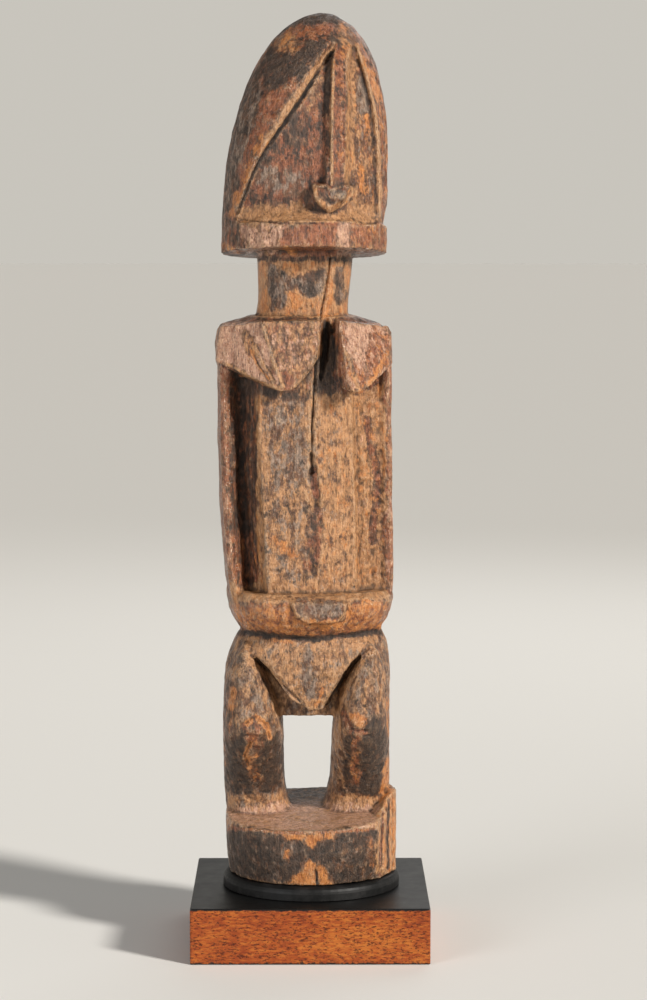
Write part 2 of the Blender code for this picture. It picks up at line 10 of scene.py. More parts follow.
import bpy
import numpy as np
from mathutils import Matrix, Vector

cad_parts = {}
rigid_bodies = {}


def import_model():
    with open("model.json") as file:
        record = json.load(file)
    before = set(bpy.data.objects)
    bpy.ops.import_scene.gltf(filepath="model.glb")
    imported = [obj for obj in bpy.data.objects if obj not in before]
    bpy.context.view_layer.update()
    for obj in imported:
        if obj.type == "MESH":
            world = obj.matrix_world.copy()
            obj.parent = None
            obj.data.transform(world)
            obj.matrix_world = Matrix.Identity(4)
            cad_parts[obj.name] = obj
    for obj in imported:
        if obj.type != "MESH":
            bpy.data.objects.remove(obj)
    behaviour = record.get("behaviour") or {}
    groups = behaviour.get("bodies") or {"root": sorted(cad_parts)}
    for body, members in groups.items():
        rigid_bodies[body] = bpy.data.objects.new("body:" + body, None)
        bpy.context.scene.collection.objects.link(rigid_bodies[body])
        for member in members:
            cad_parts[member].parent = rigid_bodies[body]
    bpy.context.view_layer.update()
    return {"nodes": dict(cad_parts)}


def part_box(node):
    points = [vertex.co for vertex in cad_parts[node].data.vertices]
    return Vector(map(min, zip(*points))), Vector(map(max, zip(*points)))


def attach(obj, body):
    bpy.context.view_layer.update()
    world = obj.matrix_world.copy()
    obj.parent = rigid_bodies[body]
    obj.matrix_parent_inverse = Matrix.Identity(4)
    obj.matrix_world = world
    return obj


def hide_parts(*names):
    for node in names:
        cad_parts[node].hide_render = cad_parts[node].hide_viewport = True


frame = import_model()
MM = 0.001
figure_low, figure_high = (np.array(corner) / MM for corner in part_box("figure"))
plinth_low, plinth_high = (np.array(corner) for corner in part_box("plinth"))
pad_low, pad_high = (np.array(corner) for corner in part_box("round_pad"))
print("nodes", sorted(frame["nodes"]), "figure from", figure_low.round(1), "to", figure_high.round(1))

# %% [markdown]
# ## The camera and the way it sees the figure
# The photograph was taken from a little above, with a long lens. The same eye is set up here.
# Its frame of 647 by 1000 is also used as a drawing board: every mark on the front is placed
# by a named pixel position, and lands on whatever wood lies behind that position.

# %% Camera
VIEW_WIDTH, VIEW_HEIGHT = 647, 1000
EYE_DISTANCE = 1.2072
EYE_HEIGHT = 0.2952
LOOK_DOWN = 0.0936
FOCAL_PIXELS = 2961.0
MIDDLE_SHIFT_PIXELS = 13.5
LOOK_ASIDE = math.atan(MIDDLE_SHIFT_PIXELS / FOCAL_PIXELS)
SENSOR = 36.0


def add_camera():
    camera = bpy.data.objects.new("camera", bpy.data.cameras.new("camera"))
    bpy.context.scene.collection.objects.link(camera)
    camera.data.sensor_width = SENSOR
    camera.data.lens = FOCAL_PIXELS / VIEW_HEIGHT * SENSOR
    camera.data.clip_start = 0.01
    camera.location = (0.0, -EYE_DISTANCE, EYE_HEIGHT)
    camera.rotation_euler = (math.pi / 2 - LOOK_DOWN, 0.0, -LOOK_ASIDE)
    bpy.context.scene.camera = camera
    return camera


def seen_at(points):
    """Where points, in millimetres, appear in the photograph's frame."""
    x, y, z = (points[:, i] * MM for i in range(3))
    ahead_level = x * math.sin(LOOK_ASIDE) + (y + EYE_DISTANCE) * math.cos(LOOK_ASIDE)
    right = x * math.cos(LOOK_ASIDE) - (y + EYE_DISTANCE) * math.sin(LOOK_ASIDE)
    ahead = ahead_level * math.cos(LOOK_DOWN) - (z - EYE_HEIGHT) * math.sin(LOOK_DOWN)
    up = ahead_level * math.sin(LOOK_DOWN) + (z - EYE_HEIGHT) * math.cos(LOOK_DOWN)
    across = VIEW_WIDTH / 2 + FOCAL_PIXELS * right / ahead
    down = VIEW_HEIGHT / 2 - FOCAL_PIXELS * up / ahead
    return np.stack((across, down), axis=1)


camera = add_camera()
print("lens", round(camera.data.lens, 1), "mm")

# %% [markdown]
# ## Floor and light
# A plain pale floor under soft light. The key comes from the right and in front, as in the
# photograph, so that every carved edge throws a short shadow to the left. It is a sun with a
# wide disc, which lights the whole floor evenly. The surround has the far floor's own tone,
# so that no line shows where the two meet.

# %% Floor and lights
FLOOR_RADIUS = 20.0
FLOOR_RIM = 1.0
FLOOR_PAINT = (0.76, 0.75, 0.725, 1.0)


def add_floor():
    """A wide pale floor whose rim bends down, so that no edge of it shows."""
    bpy.ops.object.select_all(action="DESELECT")
    bpy.ops.mesh.primitive_circle_add(vertices=64, radius=FLOOR_RADIUS, fill_type="NGON")
    floor = bpy.context.active_object
    floor.name = "floor"
    bpy.ops.object.mode_set(mode="EDIT")
    bpy.ops.mesh.select_mode(type="EDGE")
    bpy.ops.mesh.select_all(action="SELECT")
    bpy.ops.mesh.region_to_loop()
    bpy.ops.mesh.extrude_region_move(TRANSFORM_OT_translate={"value": (0.0, 0.0, -FLOOR_RIM)})
    bpy.ops.object.mode_set(mode="OBJECT")
    paint = bpy.data.materials.new("floor_paint")
    paint.use_nodes = True
    shader = paint.node_tree.nodes["Principled BSDF"]
    shader.inputs["Base Color"].default_value = FLOOR_PAINT
    shader.inputs["Roughness"].default_value = 0.9
    floor.data.materials.append(paint)
    return floor


def add_light(name, kind, place, energy, colour=(1.0, 1.0, 1.0), **shape):
    """A light that looks at the figure's middle. An area lamp has a size, a sun an angle."""
    data = bpy.data.lights.new(name, kind)
    data.energy = energy
    data.color = colour
    for setting, value in shape.items():
        setattr(data, setting, value)
    light = bpy.data.objects.new(name, data)
    bpy.context.scene.collection.objects.link(light)
    light.location = place
    light.rotation_euler = (Vector(MIDDLE) - Vector(place)).to_track_quat("-Z", "Y").to_euler()
    return light


SURROUND_TINT = (1.0, 0.959, 0.872, 1.0)
SURROUND_LOW, SURROUND_HIGH = 0.58, 0.10
FADE_FROM, FADE_TO = 0.08, 0.55


def set_world():
    """A pale surround, bright low down like a lit studio wall and dimmer overhead."""
    world = bpy.data.worlds.new("studio")
    world.use_nodes = True
    tree = world.node_tree
    shade = tree.nodes["Background"]
    shade.inputs["Color"].default_value = SURROUND_TINT
    place = tree.nodes.new("ShaderNodeTexCoord")
    split = tree.nodes.new("ShaderNodeSeparateXYZ")
    fade = tree.nodes.new("ShaderNodeMapRange")
    for name, value in (("From Min", FADE_FROM), ("From Max", FADE_TO),
                        ("To Min", SURROUND_LOW), ("To Max", SURROUND_HIGH)):
        fade.inputs[name].default_value = value
    tree.links.new(place.outputs["Generated"], split.inputs["Vector"])
    tree.links.new(split.outputs["Z"], fade.inputs["Value"])
    tree.links.new(fade.outputs["Result"], shade.inputs["Strength"])
    bpy.context.scene.world = world
    bpy.context.scene.view_settings.view_transform = "Standard"


MIDDLE = (0.0, 0.0, 0.20)
KEY_SPREAD = math.radians(8.0)
KEY_WARMTH = (1.0, 0.96, 0.90)
FILL_COOLNESS = (0.97, 0.98, 1.0)
add_floor()
add_light("key", "SUN", (0.95, -0.75, 0.82), 4.2, KEY_WARMTH, angle=KEY_SPREAD)
add_light("fill", "AREA", (-0.80, -0.90, 0.42), 6.0, FILL_COOLNESS, size=0.60)
add_light("back", "AREA", (0.3, 1.0, 0.9), 3.0, size=0.8)
set_world()

# %% [markdown]
# ## Noise and brushes
# Sculpting and painting use the same few tools: smooth noise in space, a ramp, and a brush
# that measures how far each point lies from a stroke drawn on the front view.

# %% Tools on points
SEED = 7


def ramp(value, low, high):
    """Rises softly from 0 at low to 1 at high."""
    share = np.clip((value - low) / (high - low), 0.0, 1.0)
    return share * share * (3 - 2 * share)


def hashed(cell, seed):
    """A fixed random whole number, up to 0xFFFFFFFF, for each cell of a lattice."""
    mixed = cell[:, 0] * 73856093 ^ cell[:, 1] * 19349663 ^ cell[:, 2] * 83492791
    mixed = (mixed + seed * 2654435761) & 0xFFFFFFFF
    mixed = ((mixed ^ (mixed >> 15)) * 2246822519) & 0xFFFFFFFF
    mixed = ((mixed ^ (mixed >> 13)) * 3266489917) & 0xFFFFFFFF
    return mixed ^ (mixed >> 16)


def noise(points, size, seed=0, stretch=(1.0, 1.0, 1.0)):
    """Smooth noise from -1 to 1 with cells of that size in mm, longer along stretch."""
    grid = points / (size * np.array(stretch)) + 1000.0
    base = np.floor(grid).astype(np.int64)
    share = grid - base
    share = share * share * (3 - 2 * share)
    total = np.zeros(len(points))
    for corner in range(8):
        step = np.array([(corner >> axis) & 1 for axis in range(3)])
        weight = np.prod(np.where(step, share, 1 - share), axis=1)
        total += weight * (hashed(base + step, seed + SEED) / 0x7FFFFFFF - 1.0)
    return total


def rough_noise(points, size, seed=0, stretch=(1.0, 1.0, 1.0), layers=3):
    """Layers of noise, each finer and weaker than the last."""
    total = np.zeros(len(points))
    for layer in range(layers):
        total += noise(points, size / 2**layer, seed + 31 * layer, stretch) / 2**layer
    return total / 1.6


def from_line(seen, line):
    """Distance of each seen point from a stroke, its side, and its share of the way along."""
    line = np.array(line, float)
    lengths = np.linalg.norm(np.diff(line, axis=0), axis=1)
    starts = np.concatenate(([0.0], np.cumsum(lengths)))
    best = np.full(len(seen), 1e9)
    side = np.zeros(len(seen))
    along = np.zeros(len(seen))
    for index, (a, b) in enumerate(zip(line, line[1:])):
        way = (b - a) / lengths[index]
        reach = np.clip((seen - a) @ way, 0, lengths[index])
        gap = seen - (a + reach[:, None] * way)
        distance = np.hypot(gap[:, 0], gap[:, 1])
        nearer = distance < best
        best[nearer] = distance[nearer]
        side[nearer] = np.sign(way[0] * gap[nearer, 1] - way[1] * gap[nearer, 0])
        along[nearer] = (starts[index] + reach[nearer]) / starts[-1]
    return best, side, along


def inside(seen, outline, soft=2.0):
    """1 inside a closed outline on the front view, fading to 0 over its soft edge."""
    outline = np.array(outline, float)
    x, y = seen[:, 0], seen[:, 1]
    odd = np.zeros(len(seen), bool)
    for a, b in zip(outline, np.roll(outline, -1, axis=0)):
        crosses = (a[1] > y) != (b[1] > y)
        rise = np.where(b[1] == a[1], 1e-9, b[1] - a[1])
        odd ^= crosses & (x < (b[0] - a[0]) * (y - a[1]) / rise + a[0])
    edge, _, _ = from_line(seen, np.vstack((outline, outline[:1])))
    return ramp(np.where(odd, edge, -edge), -soft, soft)


print("noise test", noise(np.array([[1.0, 2.0, 3.0], [9.0, 5.0, 7.0]]), 4.0).round(3))

# %% [markdown]
# ## The figure: a fine skin over the carved solid
# The CAD solid has the right form but broad flat facets. A copy of it is merged and remeshed
# to a fine even skin, its edges are softened by long handling, and then it is worked on as
# wood is: scoops of an adze, knife grooves, grain, cracks and pits.

# %% Copy and remesh
VOXEL = 0.62
SOFTEN = 1
FINE_TRIANGLES = 188000


def apply_modifier(piece, kind, **settings):
    modifier = piece.modifiers.new(kind.lower(), kind)
    for name, value in settings.items():
        setattr(modifier, name, value)
    bpy.context.view_layer.objects.active = piece
    bpy.ops.object.modifier_apply(modifier=modifier.name)


def copy_of(node, name):
    bpy.ops.object.select_all(action="DESELECT")
    piece = frame["nodes"][node].copy()
    piece.data = frame["nodes"][node].data.copy()
    piece.parent = None
    for key in list(piece.keys()):
        del piece[key]
    piece.name = name
    piece.data.name = name
    piece.data.materials.clear()
    bpy.context.scene.collection.objects.link(piece)
    piece.select_set(True)
    bpy.context.view_layer.objects.active = piece
    bpy.ops.object.mode_set(mode="EDIT")
    bpy.ops.mesh.select_all(action="SELECT")
    bpy.ops.mesh.remove_doubles(threshold=0.00001)
    bpy.ops.object.mode_set(mode="OBJECT")
    return piece


wood = copy_of("figure", "carved_wood")
apply_modifier(wood, "REMESH", mode="VOXEL", voxel_size=VOXEL * MM, use_smooth_shade=True)
apply_modifier(wood, "SMOOTH", factor=0.5, iterations=SOFTEN)
print("skin", len(wood.data.vertices), "points")


# %% [markdown]
# ## Points, normals and neighbours
# Blender's sculpt brushes need a hand and a window. The same moves can be made in code: the
# mesh's points are read into one array, pushed along their normals, and written back.

# %% Points, normals and neighbours
class Skin:
    """The figure's points in millimetres, with what sculpting needs to know about them."""

    def __init__(self, piece):
        self.piece = piece
        mesh = piece.data
        self.points = np.empty(len(mesh.vertices) * 3)
        mesh.vertices.foreach_get("co", self.points)
        self.points = self.points.reshape(-1, 3) / MM
        self.edges = np.empty(len(mesh.edges) * 2, np.int64)
        mesh.edges.foreach_get("vertices", self.edges)
        self.edges = self.edges.reshape(-1, 2)
        self.count = np.bincount(self.edges.ravel(), minlength=len(self.points))
        self.update()

    def update(self):
        """Writes the points back and measures the normals and the front view again."""
        mesh = self.piece.data
        mesh.vertices.foreach_set("co", (self.points * MM).astype(np.float32).ravel())
        mesh.update()
        normals = np.empty(len(mesh.vertices) * 3, np.float32)
        mesh.vertex_normals.foreach_get("vector", normals)
        self.normals = normals.reshape(-1, 3).astype(float)
        self.seen = seen_at(self.points)
        eye = np.array((0.0, -EYE_DISTANCE, EYE_HEIGHT)) / MM
        ray = eye - self.points
        ray /= np.linalg.norm(ray, axis=1)[:, None]
        self.front = ramp(np.sum(ray * self.normals, axis=1), -0.05, 0.25)

    def average(self, values, rounds=1):
        """Each point's value shared with its neighbours, some rounds over."""
        values = np.array(values, float)
        shape = (-1, 1) if values.ndim == 2 else (-1,)
        weight = self.count.reshape(shape)
        for _ in range(rounds):
            total = np.zeros_like(values)
            np.add.at(total, self.edges[:, 0], values[self.edges[:, 1]])
            np.add.at(total, self.edges[:, 1], values[self.edges[:, 0]])
            values = 0.5 * values + 0.5 * total / np.maximum(weight, 1)
        return values

    def push(self, depth):
        """Moves each point along its normal: outwards where depth is above 0."""
        self.points += self.normals * np.asarray(depth)[:, None]

    def bulge(self, rounds):
        """How far each point stands out of its surroundings: edges above 0, hollows below."""
        return np.sum((self.points - self.average(self.points, rounds)) * self.normals, axis=1)


skin = Skin(wood)
print("front view from", skin.seen.min(0).round(), "to", skin.seen.max(0).round())

# %% [markdown]
# ## Fairing the right shoulder
# On the solid, the breast block ends in a small step behind the right shoulder. On such a
# carving the blade would have run the two planes into one another, so the points behind the
# step are brought out to a sloping plane, with soft ends.

# %% The right shoulder
STEP_FRONT, STEP_BACK = -8.0, 6.0
STEP_LOW, STEP_HIGH = 243.0, 253.5
STEP_SIDE = 32.0
STEP_SLOPE = 0.19


def fair_shoulder(skin):
    x, y, z = skin.points.T
    plane = STEP_SIDE - STEP_SLOPE * (y - STEP_FRONT) - 4.0 * ramp(z, 250.0, 256.0)
    share = (ramp(y, STEP_FRONT - 2.0, STEP_FRONT) * (1 - ramp(y, STEP_BACK, STEP_BACK + 6.0))
             * ramp(z, STEP_LOW - 3.0, STEP_LOW) * (1 - ramp(z, STEP_HIGH, STEP_HIGH + 2.0))
             * ramp(x, 24.0, 26.0))
    skin.points[:, 0] = x + np.maximum(plane - x, 0.0) * share
    skin.update()
    return int((share > 0.5).sum())


print("shoulder points", fair_shoulder(skin))

# %% [markdown]
# ## The end of the belly's crack
# The solid's crack ends in a small square pocket. On the carving it runs out into a shallow
# groove, so the pocket is smoothed shut here and the groove is cut later. A Smooth modifier
# with a vertex group works on that spot alone.

# %% The crack's end
CRACK_END = ((303, 442), (322, 442), (322, 514), (303, 514))
CRACK_ROUNDS = 120


def smooth_spot(piece, mask, rounds):
    """Smooths a piece where a mask is above 0."""
    group = piece.vertex_groups.new(name="spot")
    for index in np.flatnonzero(mask > 0.01):
        group.add([int(index)], float(mask[index]), "REPLACE")
    apply_modifier(piece, "SMOOTH", factor=0.5, iterations=rounds, vertex_group="spot")
    piece.vertex_groups.clear()
    return Skin(piece)


spot = inside(skin.seen, CRACK_END, 4.0) * (skin.points[:, 1] < 0)
skin = smooth_spot(wood, spot, CRACK_ROUNDS)
print("smoothed", int((spot > 0.01).sum()), "points at the crack's end")

# %% [markdown]
# ## The blade's scoops
# An adze leaves shallow scoops with low ridges between them. Seeds are spread over the
# surface, and a point sinks the more, the nearer it is to one seed than to the next. The
# scoops are long along the grain on the trunk, upright on the jaw rim, and small and scaly on
# the legs. Uneven wear is pushed in after them, in three sizes.

# %% Scoops
def scoops(skin, size, stretch, depth, seed):
    """Shallow overlapping hollows: deep at a seed, with a ridge where two seeds meet."""
    scale = size * np.array(stretch)
    grid = skin.points / scale
    base = np.floor(grid).astype(np.int64)
    first = np.full(len(grid), 1e9)
    second = np.full(len(grid), 1e9)
    for corner in range(27):
        step = np.array([corner % 3, corner // 3 % 3, corner // 9]) - 1
        cell = base + step
        place = np.empty((len(cell), 3))
        for axis in range(3):
            place[:, axis] = hashed(cell, seed * 3 + axis + 1) / 0xFFFFFFFF
        distance = np.linalg.norm(cell + 0.15 + 0.7 * place - grid, axis=1)
        nearer = distance < first
        second = np.where(nearer, first, np.minimum(second, distance))
        first = np.where(nearer, distance, first)
    return -depth * ramp(second - first, 0.0, 0.55)


def height_band(skin, low, high, soft=2.0):
    """1 between two heights above the ground, in mm, with soft ends."""
    z = skin.points[:, 2]
    return ramp(z, low - soft, low + soft) * (1 - ramp(z, high - soft, high + soft))


FOOT_LOW, FOOT_TOP = 20.0, 56.0
LEG_TOP = 122.0
BELT_LOW, BELT_HIGH = 127.8, 146.0
SHOULDER_TOP = 257.0
JAW_LOW, JAW_TOP = 282.5, 293.5
HEAD_TOP = 400.0

leg_zone = height_band(skin, FOOT_TOP, LEG_TOP, 4.0)
head_zone = height_band(skin, JAW_TOP, HEAD_TOP, 3.0)
jaw_zone = height_band(skin, JAW_LOW, JAW_TOP, 1.0)
trunk_zone = height_band(skin, BELT_HIGH, SHOULDER_TOP, 2.0)
belt_zone = height_band(skin, BELT_LOW, BELT_HIGH, 1.5)
foot_zone = height_band(skin, FOOT_LOW, FOOT_TOP - 2.0, 3.0)

small_scales = scoops(skin, 5.0, (1.0, 1.0, 1.2), 0.24, 3)
broad_cuts = scoops(skin, 8.5, (1.0, 1.0, 1.5), 0.46, 5)
long_cuts = scoops(skin, 6.0, (1.0, 1.0, 5.0), 0.34, 8)
upright_cuts = scoops(skin, 6.5, (1.0, 1.0, 3.0), 0.60, 9)
skin.push(leg_zone * small_scales + (head_zone + foot_zone) * broad_cuts * 0.7
          + trunk_zone * long_cuts + jaw_zone * upright_cuts + belt_zone * broad_cuts)
skin.push(0.28 * rough_noise(skin.points, 14.0, 1) + 0.16 * rough_noise(skin.points, 4.5, 2)
          + 0.07 * noise(skin.points, 1.7, 4, (1.0, 1.0, 2.5)))
skin.update()
print("scoops from", small_scales.min().round(2), "to", small_scales.max().round(2))

# %% [markdown]
# ## Strokes of the knife on the front
# Grooves, cracks and raised edge lines are drawn on the front view. A groove is a V that
# sinks along a stroke, with a hand's small wander in its width.

# %% Grooves, cracks and ridges
def groove(skin, line, width, depth, wander=0.25, taper=0.0, sharp=1.0):
    """Sinks a V along a stroke on the front, or raises a ridge where depth is below 0."""
    distance, _, along = from_line(skin.seen, line)
    distance = distance + wander * width * noise(skin.points, 2.2, 11)
    reach = width * (1 - taper * np.abs(2 * along - 1) ** 2)
    shape = np.clip(1 - distance / np.maximum(reach, 0.3), 0.0, 1.0) ** sharp
    skin.push(-depth * shape * skin.front)
    skin.update()


WINDOW_INNER = ((333, 50), (318, 72), (300, 101), (282, 126), (265, 151), (251, 176), (237.5, 213))
WINDOW_OUTER_RIGHT = ((357, 47), (366, 75), (374, 105), (378, 140), (379.5, 175), (380, 217))
WINDOW_INNER_RIGHT = ((357, 60), (363, 80), (370, 107), (374, 142), (375.5, 175), (376, 212))
RIM_PITS = ((369, 62), (378, 92), (383, 125), (385, 160), (385, 190))
NOSE_LEFT_FOOT = ((331, 56), (329.5, 90), (329, 130), (329, 184))
NOSE_EDGE = ((334, 58), (332.5, 100), (332, 150), (332, 183))
NOSE_WORN = ((345, 70), (345.5, 100), (344.5, 130), (345, 160))
NECK_CRACK = ((331, 258), (329, 275), (325, 298), (322, 310), (321, 321))
BELLY_CRACK = ((316, 360), (314.5, 390), (312.5, 420), (311.5, 455), (312, 472))
GROOVE_START = ((312, 455), (312.5, 470), (313, 488))
BELLY_GROOVE = ((312.5, 474), (314, 490), (316, 506))
GROOVE_CHIPS = (((305, 490), (308, 501), (312, 505)), ((323, 494), (321, 505)))
BOSS_EDGES = (((290, 599), (293, 608), (298, 618)), ((346, 604), (345, 614), (341, 620)))
BELLY_FURROW = ((316, 505), (315, 530), (313, 572))
JAW_LINE = ((236, 219), (260, 221), (300, 223), (340, 224), (378, 223))
GROIN_LEFT = ((251, 655), (266, 668), (283, 686), (300, 702))
GROIN_RIGHT = ((362, 653), (350, 668), (338, 686), (326, 704))
BREAST_RIDGE = ((262, 324), (269, 345), (276, 368), (283, 388))
BREAST_CUTS = (
    ((256, 344), (263, 358), (272, 376), (277, 386)),
    ((252, 352), (259, 366), (268, 380)),
    ((267, 332), (273, 352), (280, 372)),
)
MOUTH_RIM = (
    (332, 191), (325, 186), (317, 187), (315, 195), (321, 204), (331, 211), (343, 204), (351, 195),
    (352, 188), (345, 186), (337, 188), (332, 191),
)
MOUTH_HOLLOW = ((322, 191), (325, 199), (331, 203))
MOUTH_BUMP = ((336, 196), (341, 196))
LEFT_PANEL_EDGE = ((262, 392), (258.5, 440), (257.5, 500), (260, 584))
RIGHT_PANEL_EDGE = ((350, 396), (352, 440), (354, 500), (353, 584))
FOOT_CRACK = ((316, 870), (317, 884))
KNEE_SCARS = (
    ((247, 723), (256, 717), (266, 724), (270, 738)),
    ((250, 744), (245, 756), (249, 766)),
    ((346, 716), (352, 731), (366, 731)),
)
KNEE_LUMPS = (((252, 729), (258, 733)), ((355, 721), (362, 722)), ((251, 754), (254, 760)))
STRIP_SPLITS = (((389, 796), (388, 868)), ((383, 812), (382, 866)), ((393, 790), (393, 866)))

groove(skin, WINDOW_INNER, 2.6, 1.7, 0.35, 0.25)
groove(skin, WINDOW_INNER_RIGHT, 3.2, 0.6, 0.3, 0.2)
groove(skin, WINDOW_OUTER_RIGHT, 1.8, -0.45, 0.3, 0.2)
groove(skin, RIM_PITS, 3.4, 0.55, 0.9, 0.2)
groove(skin, NOSE_LEFT_FOOT, 3.0, 0.9, 0.25, 0.2)
groove(skin, NOSE_EDGE, 1.8, -0.35, 0.3, 0.2)
groove(skin, NOSE_WORN, 2.6, 0.5, 0.9, 0.3)
groove(skin, NECK_CRACK, 1.5, 2.0, 0.15, 0.0)
groove(skin, BELLY_CRACK, 1.5, 2.2, 0.2, 0.2)
groove(skin, GROOVE_START, 4.5, 0.7, 0.2, 0.3, 0.8)
groove(skin, BELLY_GROOVE, 8.5, 1.1, 0.2, 0.1, 0.8)
for chip in GROOVE_CHIPS:
    groove(skin, chip, 2.6, -0.5, 0.3, 0.3)
for edge in BOSS_EDGES:
    groove(skin, edge, 1.8, -0.4, 0.3, 0.2)
groove(skin, BELLY_FURROW, 10.0, 0.7, 0.3, 0.4)
groove(skin, JAW_LINE, 1.8, 0.5, 0.4, 0.0)
groove(skin, GROIN_LEFT, 3.0, 0.9, 0.3, 0.3)
groove(skin, GROIN_RIGHT, 3.0, 0.9, 0.3, 0.3)
groove(skin, BREAST_RIDGE, 3.6, -0.55, 0.3, 0.3)
groove(skin, MOUTH_HOLLOW, 4.5, 0.8, 0.2, 0.1)
groove(skin, MOUTH_RIM, 2.8, -0.65, 0.25, 0.0)
groove(skin, MOUTH_BUMP, 5.0, -0.6, 0.2, 0.0)
groove(skin, LEFT_PANEL_EDGE, 1.8, -0.3, 0.5, 0.0)
groove(skin, RIGHT_PANEL_EDGE, 2.2, -0.4, 0.5, 0.0)
groove(skin, FOOT_CRACK, 1.4, 1.2, 0.3, 0.5)
for cut in BREAST_CUTS:
    groove(skin, cut, 1.5, 0.38, 0.4, 0.5)
for scar, lump in zip(KNEE_SCARS, KNEE_LUMPS):
    groove(skin, scar, 2.6, 0.7, 0.6, 0.3)
    groove(skin, lump, 6.0, -0.6, 0.4, 0.0)
for cut in STRIP_SPLITS:
    groove(skin, cut, 1.3, 0.7, 0.5, 0.5)
print("knee scars", len(KNEE_SCARS), "breast cuts", len(BREAST_CUTS), "splits", len(STRIP_SPLITS))

# %% [markdown]
# ## Grain, pits and chipped recesses
# Weathered wood loses its soft parts first, so fine fibres stand up along the grain. They are
# strongest where the wood was split and not smoothed: in the two upright recesses beside the
# belly and on the raw strip at the corner of the foot block. The belt was cut across the
# grain, so its marks run round it. The legs have small pits.

# %% Grain, pits and chipped recesses
LEFT_RECESS = ((226, 376), (258, 388), (258, 586), (243, 586), (232, 560), (226, 470))
RIGHT_RECESS = ((352, 392), (386, 380), (388, 470), (386, 585), (350, 588), (352, 480))
SPLIT_STRIP = ((386, 786), (400, 786), (400, 872), (376, 872), (378, 815))

left_recess = inside(skin.seen, LEFT_RECESS, 3.0) * skin.front
right_recess = inside(skin.seen, RIGHT_RECESS, 3.0) * skin.front
split_strip = inside(skin.seen, SPLIT_STRIP, 1.5) * skin.front
upright = (1.0, 1.0, 9.0)
fibres = noise(skin.points, 1.5, 21, upright)
coarse_fibres = noise(skin.points, 2.6, 22, (1.0, 1.0, 6.0))
grain_depth = 0.07 + 0.22 * (left_recess + right_recess) + 0.26 * split_strip
skin.push(grain_depth * fibres + (grain_depth - 0.05) * coarse_fibres)
across_belt = noise(skin.points, 1.5, 25, (8.0, 8.0, 1.0))
skin.push(0.16 * belt_zone * across_belt)
crumbs = rough_noise(skin.points, 2.6, 23)
skin.push((0.09 + 0.22 * left_recess + 0.40 * right_recess) * crumbs)
pits = -ramp(noise(skin.points, 2.4, 24), 0.55, 0.9)
below_hips = 1 - 0.3 * ramp(skin.points[:, 2], LEG_TOP - 4.0, LEG_TOP + 2.0)
skin.push(0.35 * pits * (leg_zone + 0.4 * foot_zone) * below_hips)
skin.update()
print("rough", round(float((left_recess + right_recess).sum())), "points in the recesses")

# %% [markdown]
# ## Keeping inside the carved block, and a lighter mesh
# Nothing may stand outside the CAD solid's box. The finished skin is then thinned where it is
# flat, which keeps the grooves and edges crisp. Where a cut is narrow, remeshing can leave a
# tiny closed bubble inside the wood, which is deleted.

# %% Clamp and thin
CLEARANCE = 0.02


def drop_bubbles(piece):
    """Deletes all that isn't joined to the highest point of the skin."""
    points = piece.data.vertices
    highest = max(range(len(points)), key=lambda index: points[index].co.z)
    bpy.context.view_layer.objects.active = piece
    bpy.ops.object.mode_set(mode="EDIT")
    bpy.ops.mesh.select_mode(type="VERT")
    bpy.ops.mesh.select_all(action="DESELECT")
    bpy.ops.object.mode_set(mode="OBJECT")
    points[highest].select = True
    bpy.ops.object.mode_set(mode="EDIT")
    bpy.ops.mesh.select_linked()
    bpy.ops.mesh.select_all(action="INVERT")
    bpy.ops.mesh.delete(type="VERT")
    bpy.ops.object.mode_set(mode="OBJECT")


skin.points = np.clip(skin.points, figure_low + CLEARANCE, figure_high - CLEARANCE)
skin.update()
share_kept = FINE_TRIANGLES / (2 * len(wood.data.polygons))
apply_modifier(wood, "TRIANGULATE")
apply_modifier(wood, "DECIMATE", ratio=min(1.0, share_kept))
drop_bubbles(wood)
skin = Skin(wood)
print("triangles", len(wood.data.polygons))
